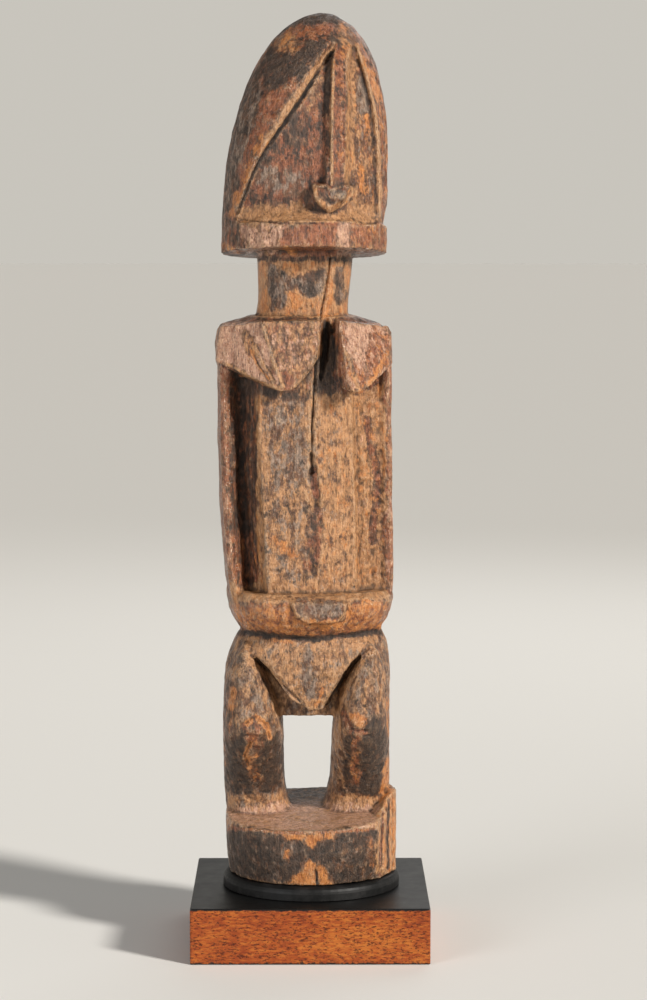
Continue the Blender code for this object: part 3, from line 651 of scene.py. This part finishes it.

# %% [markdown]
# ## Painting the old patina, with painted light and shade
# Six tones lie over the brown wood: red-brown where hands have polished it, tan where it has
# rubbed clean, orange where it has chipped, a grey film of dust and age, a pale rosy tone that
# is a painted sheen on what stands out most, and a near-black crust. Some thin tan strokes are
# also painted highlights on lit edges, and some dark strokes and patches are painted shadow in
# creases and under overhangs. A patch is a brush width in view pixels,
# or 0 for a filled outline, then the share of each tone, and its points on the front view.
# Each patch covers what was painted before it. The finish later breaks every patch up with
# fine noise.

# %% Patches by region
# In these tables a pale share is a painted sheen; painted shadows and highlights are marked where
# they stand.
HEAD_PATCHES = (
    (0, {"red": .48, "dark": .56, "grey": .28, "tan": .10},
     ((215, 225), (222, 150), (240, 95), (262, 55), (285, 25), (318, 5), (352, 8), (390, 110),
      (392, 225))),
    (0, {"dark": .45, "grey": .52, "red": .15},
     ((222, 222), (228, 160), (240, 108), (256, 82), (264, 96), (252, 132), (242, 170), (232, 195))),
    (0, {"dark": .84, "red": .50, "tan": .06},
     ((262, 62), (285, 25), (318, 5), (345, 12), (334, 40), (318, 56), (300, 74), (282, 82),
      (268, 88))),
    (0, {"red": .72, "grey": .22, "tan": .18, "orange": .08},
     ((268, 92), (286, 84), (300, 74), (284, 104), (262, 140), (246, 176), (238, 200), (240, 160),
      (254, 122))),
    (0, {"tan": .48, "orange": .42, "red": .3},
     ((281, 34), (294, 28), (298, 44), (290, 54), (276, 52), (270, 48))),
    (7, {"red": .75, "dark": .35}, ((300, 32), (328, 30))),
    (4, {"red": .5, "orange": .55, "tan": .25}, ((262, 138), (254, 158), (246, 178), (240, 196))),
    (4, {"orange": .72, "red": .4}, ((236, 194), (232, 216))),
    (0, {"red": .68, "dark": .46, "grey": .10, "tan": .12},
     ((332, 52), (330, 188), (312, 186), (300, 205), (240, 210), (252, 175), (282, 126), (318, 74))),
    (9, {"red": .35, "tan": .42, "dark": .2}, ((318, 82), (306, 104))),
    (12, {"grey": .50, "red": .45, "tan": .15, "dark": .12}, ((266, 178), (292, 182))),
    (8, {"dark": .6, "red": .4}, ((300, 120), (296, 138))),
    # Painted highlight over rubbed tan: the light bevel along the window's inner edge, which faces
    # the light.
    (3.4, {"tan": .72, "red": .28, "grey": .12},
     ((335, 46), (322, 62), (309, 80), (295, 99), (281, 121), (268, 143))),
    (1.8, {"tan": .6, "orange": .35, "red": .3}, ((268, 143), (256, 165), (247, 184), (239, 205))),
    # Painted shadow: the dark strip left of the nose, and below it a dark line of painted shade in
    # the groove along the window's edge.
    (2.2, {"dark": .95}, ((332, 54), (328, 75), (327, 110))),
    (1.3, {"dark": .9, "red": .2},
     ((318, 74), (300, 101), (282, 127), (265, 152), (251, 177), (238, 213))),
    (0, {"tan": .82, "orange": .12, "grey": .12},
     ((237, 208), (270, 203), (300, 202), (315, 212), (345, 212), (356, 200), (381, 200), (382, 224),
      (300, 224), (236, 222))),
    (0, {"tan": .42, "orange": .26, "grey": .26, "red": .34, "dark": .1},
     ((352, 44), (360, 56), (372, 90), (379, 140), (381, 205), (352, 205), (352, 120))),
    (5, {"grey": .66, "tan": .3}, ((361, 82), (365, 110))),
    (3, {"orange": .8, "tan": .3}, ((367, 116), (369, 124))),
    (3, {"orange": .6, "tan": .3}, ((361, 168), (362, 190))),
    # Painted highlight: the light strip on the nose's right slope.
    (4.5, {"tan": .66, "orange": .3, "red": .15}, ((350, 45), (350, 100), (349, 150), (348, 182))),
    (4.8, {"red": .95, "dark": .42, "orange": .25},
     ((340, 48), (339.5, 90), (340, 130), (339, 172))),
    # Painted highlight: the thin lit line on the nose's left edge.
    (1.5, {"tan": .75, "orange": .35}, ((333, 60), (332, 100), (331.5, 150), (331.5, 184))),
    (6, {"tan": .45, "orange": .4, "dark": .2}, ((342, 26), (346, 42))),
    (0, {"red": .55, "orange": .45, "dark": .22},
     ((350, 22), (366, 45), (378, 75), (386, 110), (390, 160), (390, 222), (381, 222), (380, 150),
      (374, 105), (362, 62))),
    (3.0, {"orange": .85, "tan": .3}, ((370, 72), (377, 95))),
    # Painted highlight: the thin lit line along the right rim.
    (1.6, {"tan": .85, "orange": .2},
     ((357, 46), (366, 75), (374, 105), (378, 140), (379.5, 175), (380, 217))),
    (3.2, {"tan": .72, "orange": .4}, ((315, 188), (319, 200), (330, 209), (342, 204), (352, 190))),
    (4.5, {"grey": .6, "red": .35}, ((334, 195), (341, 197))),
    (2.4, {"dark": .55, "red": .5}, ((321, 189), (326, 196))),
)
JAW_PATCHES = (
    (0, {"dark": .42, "red": .45, "grey": .2}, ((215, 222), (246, 223), (246, 258), (215, 260))),
    (3, {"orange": .6, "red": .5}, ((224, 245), (238, 252))),
    # Pale on the jaw's facets, here and two rows below, is a painted sheen.
    (0, {"grey": .30, "tan": .40, "red": .3, "pale": .62},
     ((244, 223), (287, 225), (283, 256), (244, 256))),
    (0, {"red": .92, "dark": .22}, ((286, 223), (338, 224), (338, 256), (283, 256))),
    (4, {"orange": .85}, ((287, 248), (293, 252))),
    (0, {"grey": .25, "pale": .85}, ((338, 224), (352, 225), (351, 254), (338, 254))),
    (0, {"red": .6, "tan": .32, "orange": .28}, ((352, 222), (392, 222), (391, 258), (352, 256))),
    # Painted shadow under the jaw's lower edge.
    (2.0, {"dark": .7, "red": .4}, ((222, 256), (262, 259), (340, 259), (388, 259))),
)
NECK_PATCHES = (
    (0, {"tan": .92, "orange": .52}, ((250, 258), (358, 258), (356, 322), (252, 322))),
    (0, {"dark": .52, "grey": .52, "tan": .15},
     ((267, 264), (280, 266), (294, 276), (312, 272), (322, 262), (328, 280), (322, 298), (308, 300),
      (296, 288), (288, 292), (290, 306), (276, 308), (268, 290))),
    (4.5, {"dark": .5, "grey": .45, "tan": .3}, ((341, 268), (340, 300))),
    (2.0, {"orange": .85, "tan": .2}, ((331, 278), (328, 300), (325, 314))),
    (0, {"dark": .55, "red": .45},
     ((217, 324), (258, 314), (322, 317), (324, 322), (262, 323), (222, 327))),
    (0, {"dark": .55, "red": .45}, ((334, 323), (334, 316), (360, 314), (392, 327), (360, 323))),
)
BREAST_PATCHES = (
    # Pale on the breasts, here and below, is a painted sheen.
    (0, {"red": .40, "tan": .35, "grey": .12, "pale": .78},
     ((215, 324), (262, 322), (283, 391), (232, 368), (215, 362))),
    (0, {"dark": .20, "red": .40, "tan": .42, "pale": .35},
     ((264, 323), (322, 321), (322, 345), (300, 390), (283, 391))),
    (0, {"red": .8, "dark": .15, "orange": .25}, ((274, 372), (298, 374), (290, 391), (280, 390))),
    (5, {"tan": .45, "orange": .35, "red": .3}, ((246, 336), (250, 350))),
    (2.2, {"tan": .55, "grey": .3, "red": .2}, ((321, 347), (310, 368), (298, 386))),
    # Painted highlights along the breast's ridge and the ribs beside it, over rubbed tan.
    (1.6, {"tan": .8, "grey": .25}, ((263, 327), (269, 345), (276, 368), (283, 386))),
    (1.2, {"tan": .8, "orange": .2}, ((254, 348), (262, 362), (274, 382))),
    (1.3, {"orange": .7, "tan": .4}, ((250, 350), (258, 366), (270, 381))),
    # Painted shade on the left breast's lower facet.
    (0, {"dark": .70, "red": .4}, ((230, 370), (282, 395), (276, 399), (242, 386))),
    (1.0, {"tan": .8, "orange": .3}, ((226, 364), (250, 377), (282, 392))),
    (0, {"red": .62, "tan": .20, "orange": .30, "pale": .42},
     ((334, 323), (394, 325), (394, 374), (360, 396), (344, 387), (336, 378))),
    # Painted sheen: the light patch and the bright spot on the right breast.
    (0, {"grey": .30, "pale": .85}, ((346, 325), (366, 324), (368, 345), (358, 366), (348, 350))),
    (3.0, {"pale": .95, "tan": .5}, ((352, 330), (360, 338))),
    (2.0, {"orange": .66, "red": .4}, ((388, 352), (374, 378), (358, 392))),
    (1.5, {"tan": .7, "orange": .4}, ((346, 352), (352, 372), (358, 388))),
)
TRUNK_PATCHES = (
    (0, {"tan": .60, "grey": .34, "dark": .26, "orange": .1},
     ((258, 386), (318, 392), (318, 590), (256, 590), (255, 480))),
    (0, {"tan": .66, "orange": .30, "grey": .18, "dark": .14},
     ((316, 392), (352, 396), (354, 590), (316, 590))),
    (0, {"grey": .48, "dark": .24, "tan": .45},
     ((268, 402), (306, 400), (306, 470), (286, 492), (268, 470))),
    (1.1, {"orange": .6, "tan": .5, "red": .2}, ((230, 373), (227, 470), (237, 588))),
    (6, {"orange": .5, "tan": .45, "dark": .1}, ((275, 540), (300, 560))),
    (7, {"red": .6, "dark": .42, "tan": .3}, ((316, 512), (315, 535), (310, 568))),
    (3.0, {"red": .7, "grey": .2}, ((314, 470), (316, 495))),
    # Painted highlights on the lit corner edges of the trunk panel, over rubbed tan.
    (1.9, {"tan": .85, "orange": .35}, ((262, 390), (258, 440), (257, 500), (260, 588))),
    (2.6, {"tan": .92, "orange": .1}, ((350, 394), (352, 440), (355, 500), (353, 588))),
    (1.6, {"tan": .9, "grey": .2}, ((304, 488), (308, 502), (313, 505))),
    (1.6, {"tan": .9, "grey": .2}, ((323, 496), (320, 506))),
    (0, {"dark": .56, "red": .52, "orange": .1},
     ((226, 374), (256, 384), (256, 590), (238, 590), (228, 540), (222, 470))),
    (0, {"red": .62, "dark": .38, "orange": .30}, ((234, 536), (257, 532), (258, 592), (238, 592))),
    (0, {"tan": .86, "orange": .36, "dark": .12, "pale": .15},
     ((354, 392), (386, 378), (390, 470), (388, 592), (354, 592), (356, 480))),
    (3.5, {"red": .55, "orange": .3, "dark": .3}, ((366, 420), (378, 480), (372, 540))),
    (4, {"tan": .75, "orange": .2}, ((362, 572), (376, 586))),
    # Pale on the arms is a painted sheen.
    (0, {"red": .62, "grey": .20, "pale": .38},
     ((212, 362), (229, 368), (225, 470), (236, 594), (222, 594), (212, 450))),
    (0, {"red": .62, "pale": .38, "orange": .15}, ((386, 376), (400, 372), (400, 594), (385, 594))),
    # Painted shadow between the breasts, cast by the right breast, and in the band under the breasts
    # below.
    (0, {"dark": .90, "red": .3},
     ((324, 321), (334, 321), (337, 350), (340, 382), (330, 392), (320, 392), (317, 380))),
    (3.0, {"dark": .6, "tan": .3}, ((266, 394), (308, 398))),
)
BELT_PATCHES = (
    (0, {"tan": .80, "grey": .20, "orange": .20}, ((232, 584), (388, 584), (390, 604), (230, 604))),
    (0, {"red": .68, "orange": .55, "tan": .20, "dark": .08},
     ((226, 604), (392, 604), (388, 634), (236, 635))),
    (0, {"grey": .42, "red": .35, "dark": .22, "tan": .2},
     ((293, 599), (346, 599), (344, 616), (336, 620), (300, 619))),
    (2.5, {"orange": .8, "red": .4}, ((300, 624), (338, 624))),
    # Painted highlights on the lit edges of the boss.
    (1.2, {"tan": .95}, ((290, 599), (293, 608), (298, 618))),
    (1.2, {"tan": .95}, ((346, 604), (345, 614), (341, 620))),
    # Painted shadow under the belt.
    (2.0, {"dark": .75, "red": .3}, ((238, 632), (310, 639), (386, 631))),
)
LEG_PATCHES = (
    (0, {"tan": .46, "grey": .34, "dark": .26, "red": .2},
     ((215, 640), (400, 640), (400, 815), (215, 815))),
    (0, {"tan": .66, "grey": .30, "dark": .20, "orange": .1},
     ((243, 636), (382, 632), (364, 653), (320, 713), (303, 709), (250, 656))),
    (4, {"orange": .6, "tan": .4}, ((274, 638), (292, 640))),
    (5, {"grey": .55, "tan": .3, "dark": .25}, ((308, 652), (312, 692))),
    (3, {"orange": .55, "tan": .4, "dark": .2}, ((322, 690), (316, 704))),
    # Painted highlight on the lit inner edge of the left thigh.
    (4.0, {"tan": .78, "grey": .2}, ((253, 661), (268, 673), (277, 695), (281, 725))),
    (3.5, {"tan": .75, "grey": .15}, ((360, 661), (347, 683), (337, 710), (335, 745))),
    (7, {"orange": .35, "red": .35, "dark": .4}, ((227, 690), (226, 770))),
    (3.5, {"orange": .75, "tan": .3}, ((234, 692), (231, 706))),
    (0, {"dark": .69, "grey": .30, "tan": .15, "orange": .08},
     ((228, 742), (244, 734), (262, 738), (276, 734), (284, 752), (280, 782), (262, 796), (236, 796),
      (226, 778))),
    (0, {"dark": .69, "grey": .30, "tan": .15, "orange": .08},
     ((344, 742), (352, 730), (372, 716), (388, 718), (388, 765), (378, 796), (356, 800),
      (344, 788))),
    (5, {"orange": .5, "red": .45, "dark": .35}, ((256, 742), (252, 762), (256, 778))),
    (5, {"red": .55, "orange": .35, "dark": .38}, ((356, 738), (354, 760), (356, 782))),
    (9, {"red": .55, "dark": .35, "orange": .2}, ((252, 728), (256, 742))),
    (2.6, {"orange": .85, "red": .3}, ((247, 723), (256, 717), (266, 724), (270, 738))),
    (2.2, {"orange": .8, "red": .4}, ((250, 744), (245, 756), (249, 766))),
    (5.5, {"orange": .8, "tan": .3, "red": .2}, ((354, 720), (363, 721))),
    (3, {"red": .7, "dark": .3}, ((345, 714), (350, 731), (366, 732))),
    (3.5, {"tan": .6, "grey": .3}, ((232, 800), (284, 796))),
    (3.5, {"tan": .7, "orange": .3}, ((334, 797), (382, 800))),
    (2.0, {"orange": .7, "tan": .3}, ((388, 698), (389, 735))),
    (4.2, {"orange": .75, "tan": .5}, ((389, 758), (385, 788), (380, 808))),
)
FOOT_PATCHES = (
    # Pale on the foot block's top is a painted sheen.
    (0, {"grey": .30, "tan": .80, "pale": .60},
     ((218, 810), (285, 800), (330, 800), (392, 804), (380, 828), (310, 833), (222, 826))),
    (0, {"dark": .67, "grey": .42, "tan": .16},
     ((218, 828), (310, 834), (380, 829), (380, 876), (310, 892), (220, 874))),
    (3.8, {"orange": .75, "tan": .3, "red": .2}, ((286, 835), (308, 838), (330, 836))),
    (3.5, {"orange": .8}, ((311, 838), (313, 845))),
    (2.5, {"orange": .7, "red": .3}, ((287, 851), (286, 858))),
    (0, {"orange": .85, "tan": .35, "red": .2},
     ((288, 886), (300, 868), (312, 859), (326, 868), (336, 886), (312, 892))),
    (3, {"orange": .4, "red": .3, "dark": .3}, ((370, 838), (372, 865))),
    (0.9, {"dark": 1.0}, ((316, 871), (317.5, 884))),
    # Painted highlight on the foot block's front top edge.
    (1.3, {"red": .7, "orange": .3}, ((224, 828), (310, 834), (378, 829))),
    (0, {"tan": .92, "orange": .50}, SPLIT_STRIP),
    (1.0, {"dark": .5, "red": .5}, ((389, 800), (387, 835), (388, 868))),
    (1.1, {"red": .75}, ((383, 812), (382, 840), (381, 866))),
)
TONES = ("red", "tan", "orange", "grey", "pale", "dark")


# %% [markdown]
# ## Brushing the patches on
# The patches are laid on in order. A large one wanders with a broad noise, so that its outline
# looks weathered, and a fine stroke keeps close to its line. The sides and the back are not
# on the front view, so noise alone shares out the tones there. Two more fields tell edges
# from hollows by how far a point stands out of its neighbours, near and wide: the finish
# lightens the edges, partly as dust and partly as a painted highlight, and darkens the
# hollows with painted shade.

# %% Brush the patches on
BROAD_SWAY = 6.0
FINE_SWAY = 1.3
SWAY_SIZE = 7.0
FINE_BRUSH = 4
OUTLINE_SOFT = 4.5


def paint(skin, patches, tones, coat):
    """Covers the tones patch by patch. Large patches wander more than fine strokes do."""
    drift = np.stack([rough_noise(skin.points, SWAY_SIZE, seed) for seed in (51, 53)], axis=1)
    broad = skin.seen + BROAD_SWAY * drift
    fine = skin.seen + FINE_SWAY * drift
    for width, shares, points in patches:
        if width:
            canvas = fine if width < FINE_BRUSH else 0.5 * (fine + broad)
            distance, _, _ = from_line(canvas, points)
            mask = 1 - ramp(distance, 0.6 * width - 0.6, 1.5 * width + 1.0)
        else:
            mask = inside(broad, points, OUTLINE_SOFT)
        mask = mask * skin.front
        for tone in TONES:
            tones[tone] += (shares.get(tone, 0.0) - tones[tone]) * mask
        coat[:] = np.maximum(coat, mask)


def store(skin, name, values):
    """Keeps a field on the mesh, for the finish to read."""
    attribute = skin.piece.data.attributes.new(name, "FLOAT", "POINT")
    attribute.data.foreach_set("value", np.clip(values, 0.0, 1.0).astype(np.float32))


clouds = rough_noise(skin.points, 22.0, 61)
bands = rough_noise(skin.points, 12.0, 62, (1.0, 1.0, 3.0))
sides = {
    "red": 0.50 + 0.35 * bands,
    "tan": 0.30 - 0.45 * clouds,
    "orange": ramp(noise(skin.points, 13.0, 63), 0.35, 0.85) * 0.75,
    "grey": 0.32 + 0.35 * noise(skin.points, 18.0, 64),
    # Pale is a painted sheen, here spread by noise.
    "pale": 0.12 - 0.35 * bands,
    "dark": 0.40 + 0.50 * clouds,
}
tones = {tone: np.zeros(len(skin.points)) for tone in TONES}
coat = np.zeros(len(skin.points))
for patches in (LEG_PATCHES, FOOT_PATCHES, TRUNK_PATCHES, BELT_PATCHES, NECK_PATCHES,
                BREAST_PATCHES, HEAD_PATCHES, JAW_PATCHES):
    paint(skin, patches, tones, coat)
for tone in TONES:
    tones[tone] = tones[tone] + sides[tone] * (1 - coat)
    store(skin, tone, tones[tone])
near, wide = skin.bulge(4), skin.bulge(18)
# Lighter edges are dust and a painted highlight; darker hollows are painted shade.
worn_and_lit = np.maximum(ramp(near, 0.03, 0.16), 0.75 * ramp(wide, 0.22, 0.75))
painted_hollow_shade = np.maximum(ramp(-near, 0.04, 0.20), 0.85 * ramp(-wide, 0.20, 0.90))
store(skin, "worn_edge", worn_and_lit)
store(skin, "hollow", painted_hollow_shade)
print("worn_and_lit", round(float(worn_and_lit.mean()), 3), "painted_hollow_shade", round(float(painted_hollow_shade.mean()), 3))
print("painted share", round(float(coat.mean()), 2))


# %% [markdown]
# ## Writing a finish as sums
# A finish is a small sum of colours and masks. One class wraps a socket, so that the sums can
# be written as such, and makes the nodes behind the scenes.

# %% Shader sums
class Term:
    """A shader socket that can be added, multiplied and mixed like a number."""

    def __init__(self, finish, socket, kind="value"):
        self.finish = finish
        self.socket = socket
        self.kind = kind

    def _math(self, operation, *others, swap=False):
        values = [self, *others]
        if swap:
            values.reverse()
        settings = {"operation": operation}
        if any(getattr(value, "kind", "value") == "vector" for value in values):
            return self.finish.node("ShaderNodeVectorMath", settings, values, "vector")
        return self.finish.node("ShaderNodeMath", settings, values)

    def __add__(self, other):
        return self._math("ADD", other)

    def __radd__(self, other):
        return self._math("ADD", other, swap=True)

    def __sub__(self, other):
        return self._math("SUBTRACT", other)

    def __rsub__(self, other):
        return self._math("SUBTRACT", other, swap=True)

    def __mul__(self, other):
        return self._math("MULTIPLY", other)

    def __rmul__(self, other):
        return self._math("MULTIPLY", other, swap=True)

    def between(self, low, high):
        """0 below low, 1 above high, and a soft step in between."""
        values = {"Value": self, "From Min": low, "From Max": high}
        return self.finish.node("ShaderNodeMapRange", {"interpolation_type": "SMOOTHSTEP"}, values)


class Finish:
    """A material that is written as sums of terms."""

    def __init__(self, name):
        self.material = bpy.data.materials.new(name)
        self.material.use_nodes = True
        self.tree = self.material.node_tree
        self.shader = self.tree.nodes["Principled BSDF"]
        self.place = self.node("ShaderNodeTexCoord", {}, {}, "vector", "Object")

    def node(self, kind, settings, values, gives="value", output=0):
        """Adds a node: its settings first, then the values or links of its sockets."""
        made = self.tree.nodes.new(kind)
        for name, value in settings.items():
            if name == "stops":
                self._stops(made.color_ramp, value)
            else:
                setattr(made, name, value)
        named = values.items() if isinstance(values, dict) else enumerate(values)
        for key, value in named:
            socket = made.inputs[key]
            if isinstance(value, Term):
                self.tree.links.new(value.socket, socket)
            else:
                socket.default_value = value
        return Term(self, made.outputs[output], gives)

    @staticmethod
    def _stops(ramp_data, stops):
        while len(ramp_data.elements) < len(stops):
            ramp_data.elements.new(0.5)
        for element, (position, colour) in zip(ramp_data.elements, stops):
            element.position = position
            element.color = (*colour, 1.0)

    def field(self, name):
        return self.node("ShaderNodeAttribute", {"attribute_name": name}, {}, "value", "Fac")

    def stretched(self, x, y, z, place=None):
        """Object coordinates scaled on each axis, per metre."""
        values = [place or self.place, (x, y, z)]
        return self.node("ShaderNodeVectorMath", {"operation": "MULTIPLY"}, values, "vector")

    def noise(self, place, scale=1.0, detail=3.0, rough=0.55, distortion=0.0):
        values = {"Vector": place, "Scale": scale, "Detail": detail, "Roughness": rough,
                  "Distortion": distortion}
        return self.node("ShaderNodeTexNoise", {"noise_dimensions": "3D"}, values)

    def mix(self, a, b, share):
        """From colour a to colour b."""
        made = self.tree.nodes.new("ShaderNodeMix")
        made.data_type = "RGBA"
        sockets = {"Factor": made.inputs[0], "A": made.inputs[6], "B": made.inputs[7]}
        for key, value in (("Factor", share), ("A", a), ("B", b)):
            if isinstance(value, Term):
                self.tree.links.new(value.socket, sockets[key])
            elif key == "Factor":
                sockets[key].default_value = value
            else:
                sockets[key].default_value = (*value, 1.0)
        return Term(self, made.outputs[2], "colour")

    def colours(self, value, stops):
        return self.node("ShaderNodeValToRGB", {"stops": stops}, [value], "colour")

    def bump(self, height, distance, strength=1.0, normal=None):
        values = {"Height": height, "Distance": distance, "Strength": strength}
        if normal is not None:
            values["Normal"] = normal
        return self.node("ShaderNodeBump", {}, values, "vector")

    def set(self, **sockets):
        for name, value in sockets.items():
            words = [word if word.isupper() else word.capitalize() for word in name.split("_")]
            socket = self.shader.inputs[" ".join(words)]
            if isinstance(value, Term):
                self.tree.links.new(value.socket, socket)
            else:
                socket.default_value = value
        return self.material


# %% [markdown]
# ## The old wood
# Each tone is a pair of colours, dark and light, with fine grain between the two. A tone
# shows where its painted share is higher than a noise, so a share of one half gives broken
# flecks and a full share an almost closed film. Edges are lightened last, partly as dust and
# partly as a painted highlight, and hollows are darkened with painted shade; the crust takes
# little of the edge lightening. It is duller than the rubbed wood, and the red and the pale
# tone, a painted sheen, shine most.

# %% The old wood
WOOD_TONES = {
    "brown": ((0.055, 0.023, 0.011), (0.170, 0.075, 0.036)),
    "red": ((0.105, 0.028, 0.011), (0.370, 0.125, 0.052)),
    "tan": ((0.225, 0.098, 0.036), (0.580, 0.300, 0.135)),
    "orange": ((0.330, 0.100, 0.022), (0.620, 0.250, 0.070)),
    "grey": ((0.070, 0.050, 0.038), (0.350, 0.245, 0.180)),
    # Pale: a painted sheen, a light colour standing in for the shine of prominent parts.
    "pale": ((0.270, 0.120, 0.070), (0.660, 0.390, 0.260)),
    # Dark: the crust, and also painted shadow in creases and under overhangs.
    "dark": ((0.007, 0.005, 0.004), (0.075, 0.044, 0.028)),
}
PORE = (0.022, 0.010, 0.005)
# The colour of the lighter edges: dust, and a painted highlight.
DUST_AND_HIGHLIGHT = (0.52, 0.34, 0.20)
WOOD_SHINE = 0.50
FILM = 0.93
EDGE_DUST_AND_HIGHLIGHT, HOLLOW_SHADE, PORE_SHADE = 0.5, 0.70, 0.5


def old_wood():
    finish = Finish("old_wood")
    worn_and_lit, hollow = finish.field("worn_edge"), finish.field("hollow")
    fine = finish.noise(finish.stretched(1700, 1700, 800), 1.0, 4.0, 0.68)
    streaks = finish.noise(finish.stretched(1400, 1400, 110), 1.0, 4.0, 0.62)
    speckle = finish.noise(finish.stretched(1000, 1000, 800), 1.0, 3.0, 0.6)
    pores = finish.noise(finish.stretched(2300, 2300, 330), 1.0, 2.0, 0.5).between(0.60, 0.68)
    mottle = finish.noise(finish.stretched(520, 520, 380), 1.0, 4.0, 0.65)
    lively = (0.36 * fine + 0.22 * streaks + 0.42 * mottle).between(0.37, 0.62)

    def cover(tone, index):
        """Where a tone shows: its painted share, broken up along the grain and by specks."""
        offset = [finish.place, (0.37 * (index + 1), 0.21, 0.11 * index)]
        shifted = finish.node("ShaderNodeVectorMath", {"operation": "ADD"}, offset, "vector")
        broken = finish.noise(finish.stretched(360, 360, 200, shifted), 1.0, 5.0, 0.66)
        limit = 2.1 * broken + 0.6 * speckle - 0.85
        return (finish.field(tone) - limit).between(-0.17, 0.17)

    colour = finish.mix(*WOOD_TONES["brown"], lively)
    covers = {}
    for index, tone in enumerate(TONES):
        covers[tone] = cover(tone, index)
        colour = finish.mix(colour, finish.mix(*WOOD_TONES[tone], lively), covers[tone] * FILM)
    colour = finish.mix(colour, PORE, pores * PORE_SHADE)
    # Lighter edges: partly dust, partly a painted highlight.
    dust = worn_and_lit * fine.between(0.35, 0.6) * (EDGE_DUST_AND_HIGHLIGHT - 0.4 * covers["dark"])
    colour = finish.mix(colour, DUST_AND_HIGHLIGHT, dust)
    # Painted shade: hollows darkened towards the crust's darkest colour.
    colour = finish.mix(colour, WOOD_TONES["dark"][0], hollow * HOLLOW_SHADE)
    roughness = (0.40 - 0.08 * covers["red"] - 0.08 * covers["pale"] + 0.16 * covers["dark"]
                 + 0.16 * hollow - 0.12 * worn_and_lit + 0.35 * (speckle - 0.5))
    relief = 0.45 * streaks + 0.5 * fine + 0.35 * speckle + 0.45 * mottle - 0.25 * pores
    normal = finish.bump(relief, 0.0010, 1.0)
    return finish.set(base_color=colour, roughness=roughness, normal=normal,
                      specular_IOR_level=WOOD_SHINE)


wood.data.materials.append(old_wood())
for polygon in wood.data.polygons:
    polygon.use_smooth = True
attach(wood, "root")
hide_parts("figure")
print("finish", wood.data.materials[0].name)


# %% [markdown]
# ## The pad
# The round pad is painted black with a satin sheen. Its carved shape is already right, so the
# piece of the frame stays and only gets its paint, with faint dust in the sheen.

# %% The pad
PAD_SHINE = 0.3
PAD_BLACK, PAD_DUSTY = (0.003, 0.003, 0.003), (0.012, 0.011, 0.011)


def pad_paint():
    finish = Finish("pad_paint")
    dust = finish.noise(finish.stretched(220, 220, 220), 1.0, 4.0, 0.6)
    colour = finish.mix(PAD_BLACK, PAD_DUSTY, dust.between(0.4, 0.75))
    roughness = 0.36 + 0.3 * dust
    normal = finish.bump(dust, 0.0001, 0.4)
    return finish.set(base_color=colour, roughness=roughness, normal=normal,
                      specular_IOR_level=PAD_SHINE)


pad = frame["nodes"]["round_pad"]
pad.data.materials.clear()
pad.data.materials.append(pad_paint())
print("pad", pad_low.round(4), pad_high.round(4))


# %% [markdown]
# ## The socle
# The block is a red-gold hardwood: short dark pores lie along the grain, and the black paint
# of the top runs a little over the edge in a ragged line. A thin band along the bottom edge
# is darker. Height above the floor places both lines, so they run round all four sides.

# %% The socle
SOCLE_TOP_LINE = 0.0219
SOCLE_FOOT_LINE = 0.0007
TOP_RAGGED, FOOT_RAGGED = 0.0016, 0.0034
LINE_SOFT = 0.0003
PAINT = (0.004, 0.004, 0.004)
SOCLE_PORE = (0.060, 0.010, 0.003)
FOOT_BAND_DARK = (0.020, 0.009, 0.005)
SOCLE_COLOURS = (
    (0.38, (0.180, 0.026, 0.0035)),
    (0.50, (0.295, 0.060, 0.0075)),
    (0.62, (0.420, 0.125, 0.018)),
)


def socle_wood():
    finish = Finish("socle_wood")
    pores = finish.noise(finish.stretched(700, 1700, 1900), 1.0, 3.0, 0.65)
    grain = finish.noise(finish.stretched(240, 900, 1100), 1.0, 4.0, 0.68)
    broad = finish.noise(finish.stretched(26, 60, 70), 1.0, 3.0, 0.55)
    wander = finish.noise(finish.stretched(420, 420, 120), 1.0, 4.0, 0.7)
    colour = finish.colours(0.6 * grain + 0.4 * broad, SOCLE_COLOURS)
    flecks = pores.between(0.53, 0.66)
    colour = finish.mix(colour, SOCLE_PORE, flecks * 0.85)
    height = finish.node("ShaderNodeSeparateXYZ", {}, [finish.place], "value", "Z")
    ragged = height + (wander - 0.5) * TOP_RAGGED
    top = ragged.between(SOCLE_TOP_LINE - LINE_SOFT, SOCLE_TOP_LINE + LINE_SOFT)
    ragged = height - (wander - 0.5) * FOOT_RAGGED
    foot = 1 - ragged.between(SOCLE_FOOT_LINE - LINE_SOFT, SOCLE_FOOT_LINE + LINE_SOFT)
    colour = finish.mix(colour, PAINT, top)
    colour = finish.mix(colour, FOOT_BAND_DARK, foot)
    dust = finish.noise(finish.stretched(90, 90, 90), 1.0, 5.0, 0.65)
    bare = 1 - top
    normal = finish.bump((0.5 * grain - flecks) * bare + 0.15 * dust * top, 0.0003, 0.8)
    roughness = 0.56 - 0.16 * top + 0.28 * (dust - 0.5)
    return finish.set(base_color=colour, roughness=roughness, normal=normal,
                      specular_IOR_level=PAD_SHINE)


socle = frame["nodes"]["plinth"]
socle.data.materials.clear()
socle.data.materials.append(socle_wood())
print("socle", plinth_low.round(4), plinth_high.round(4))
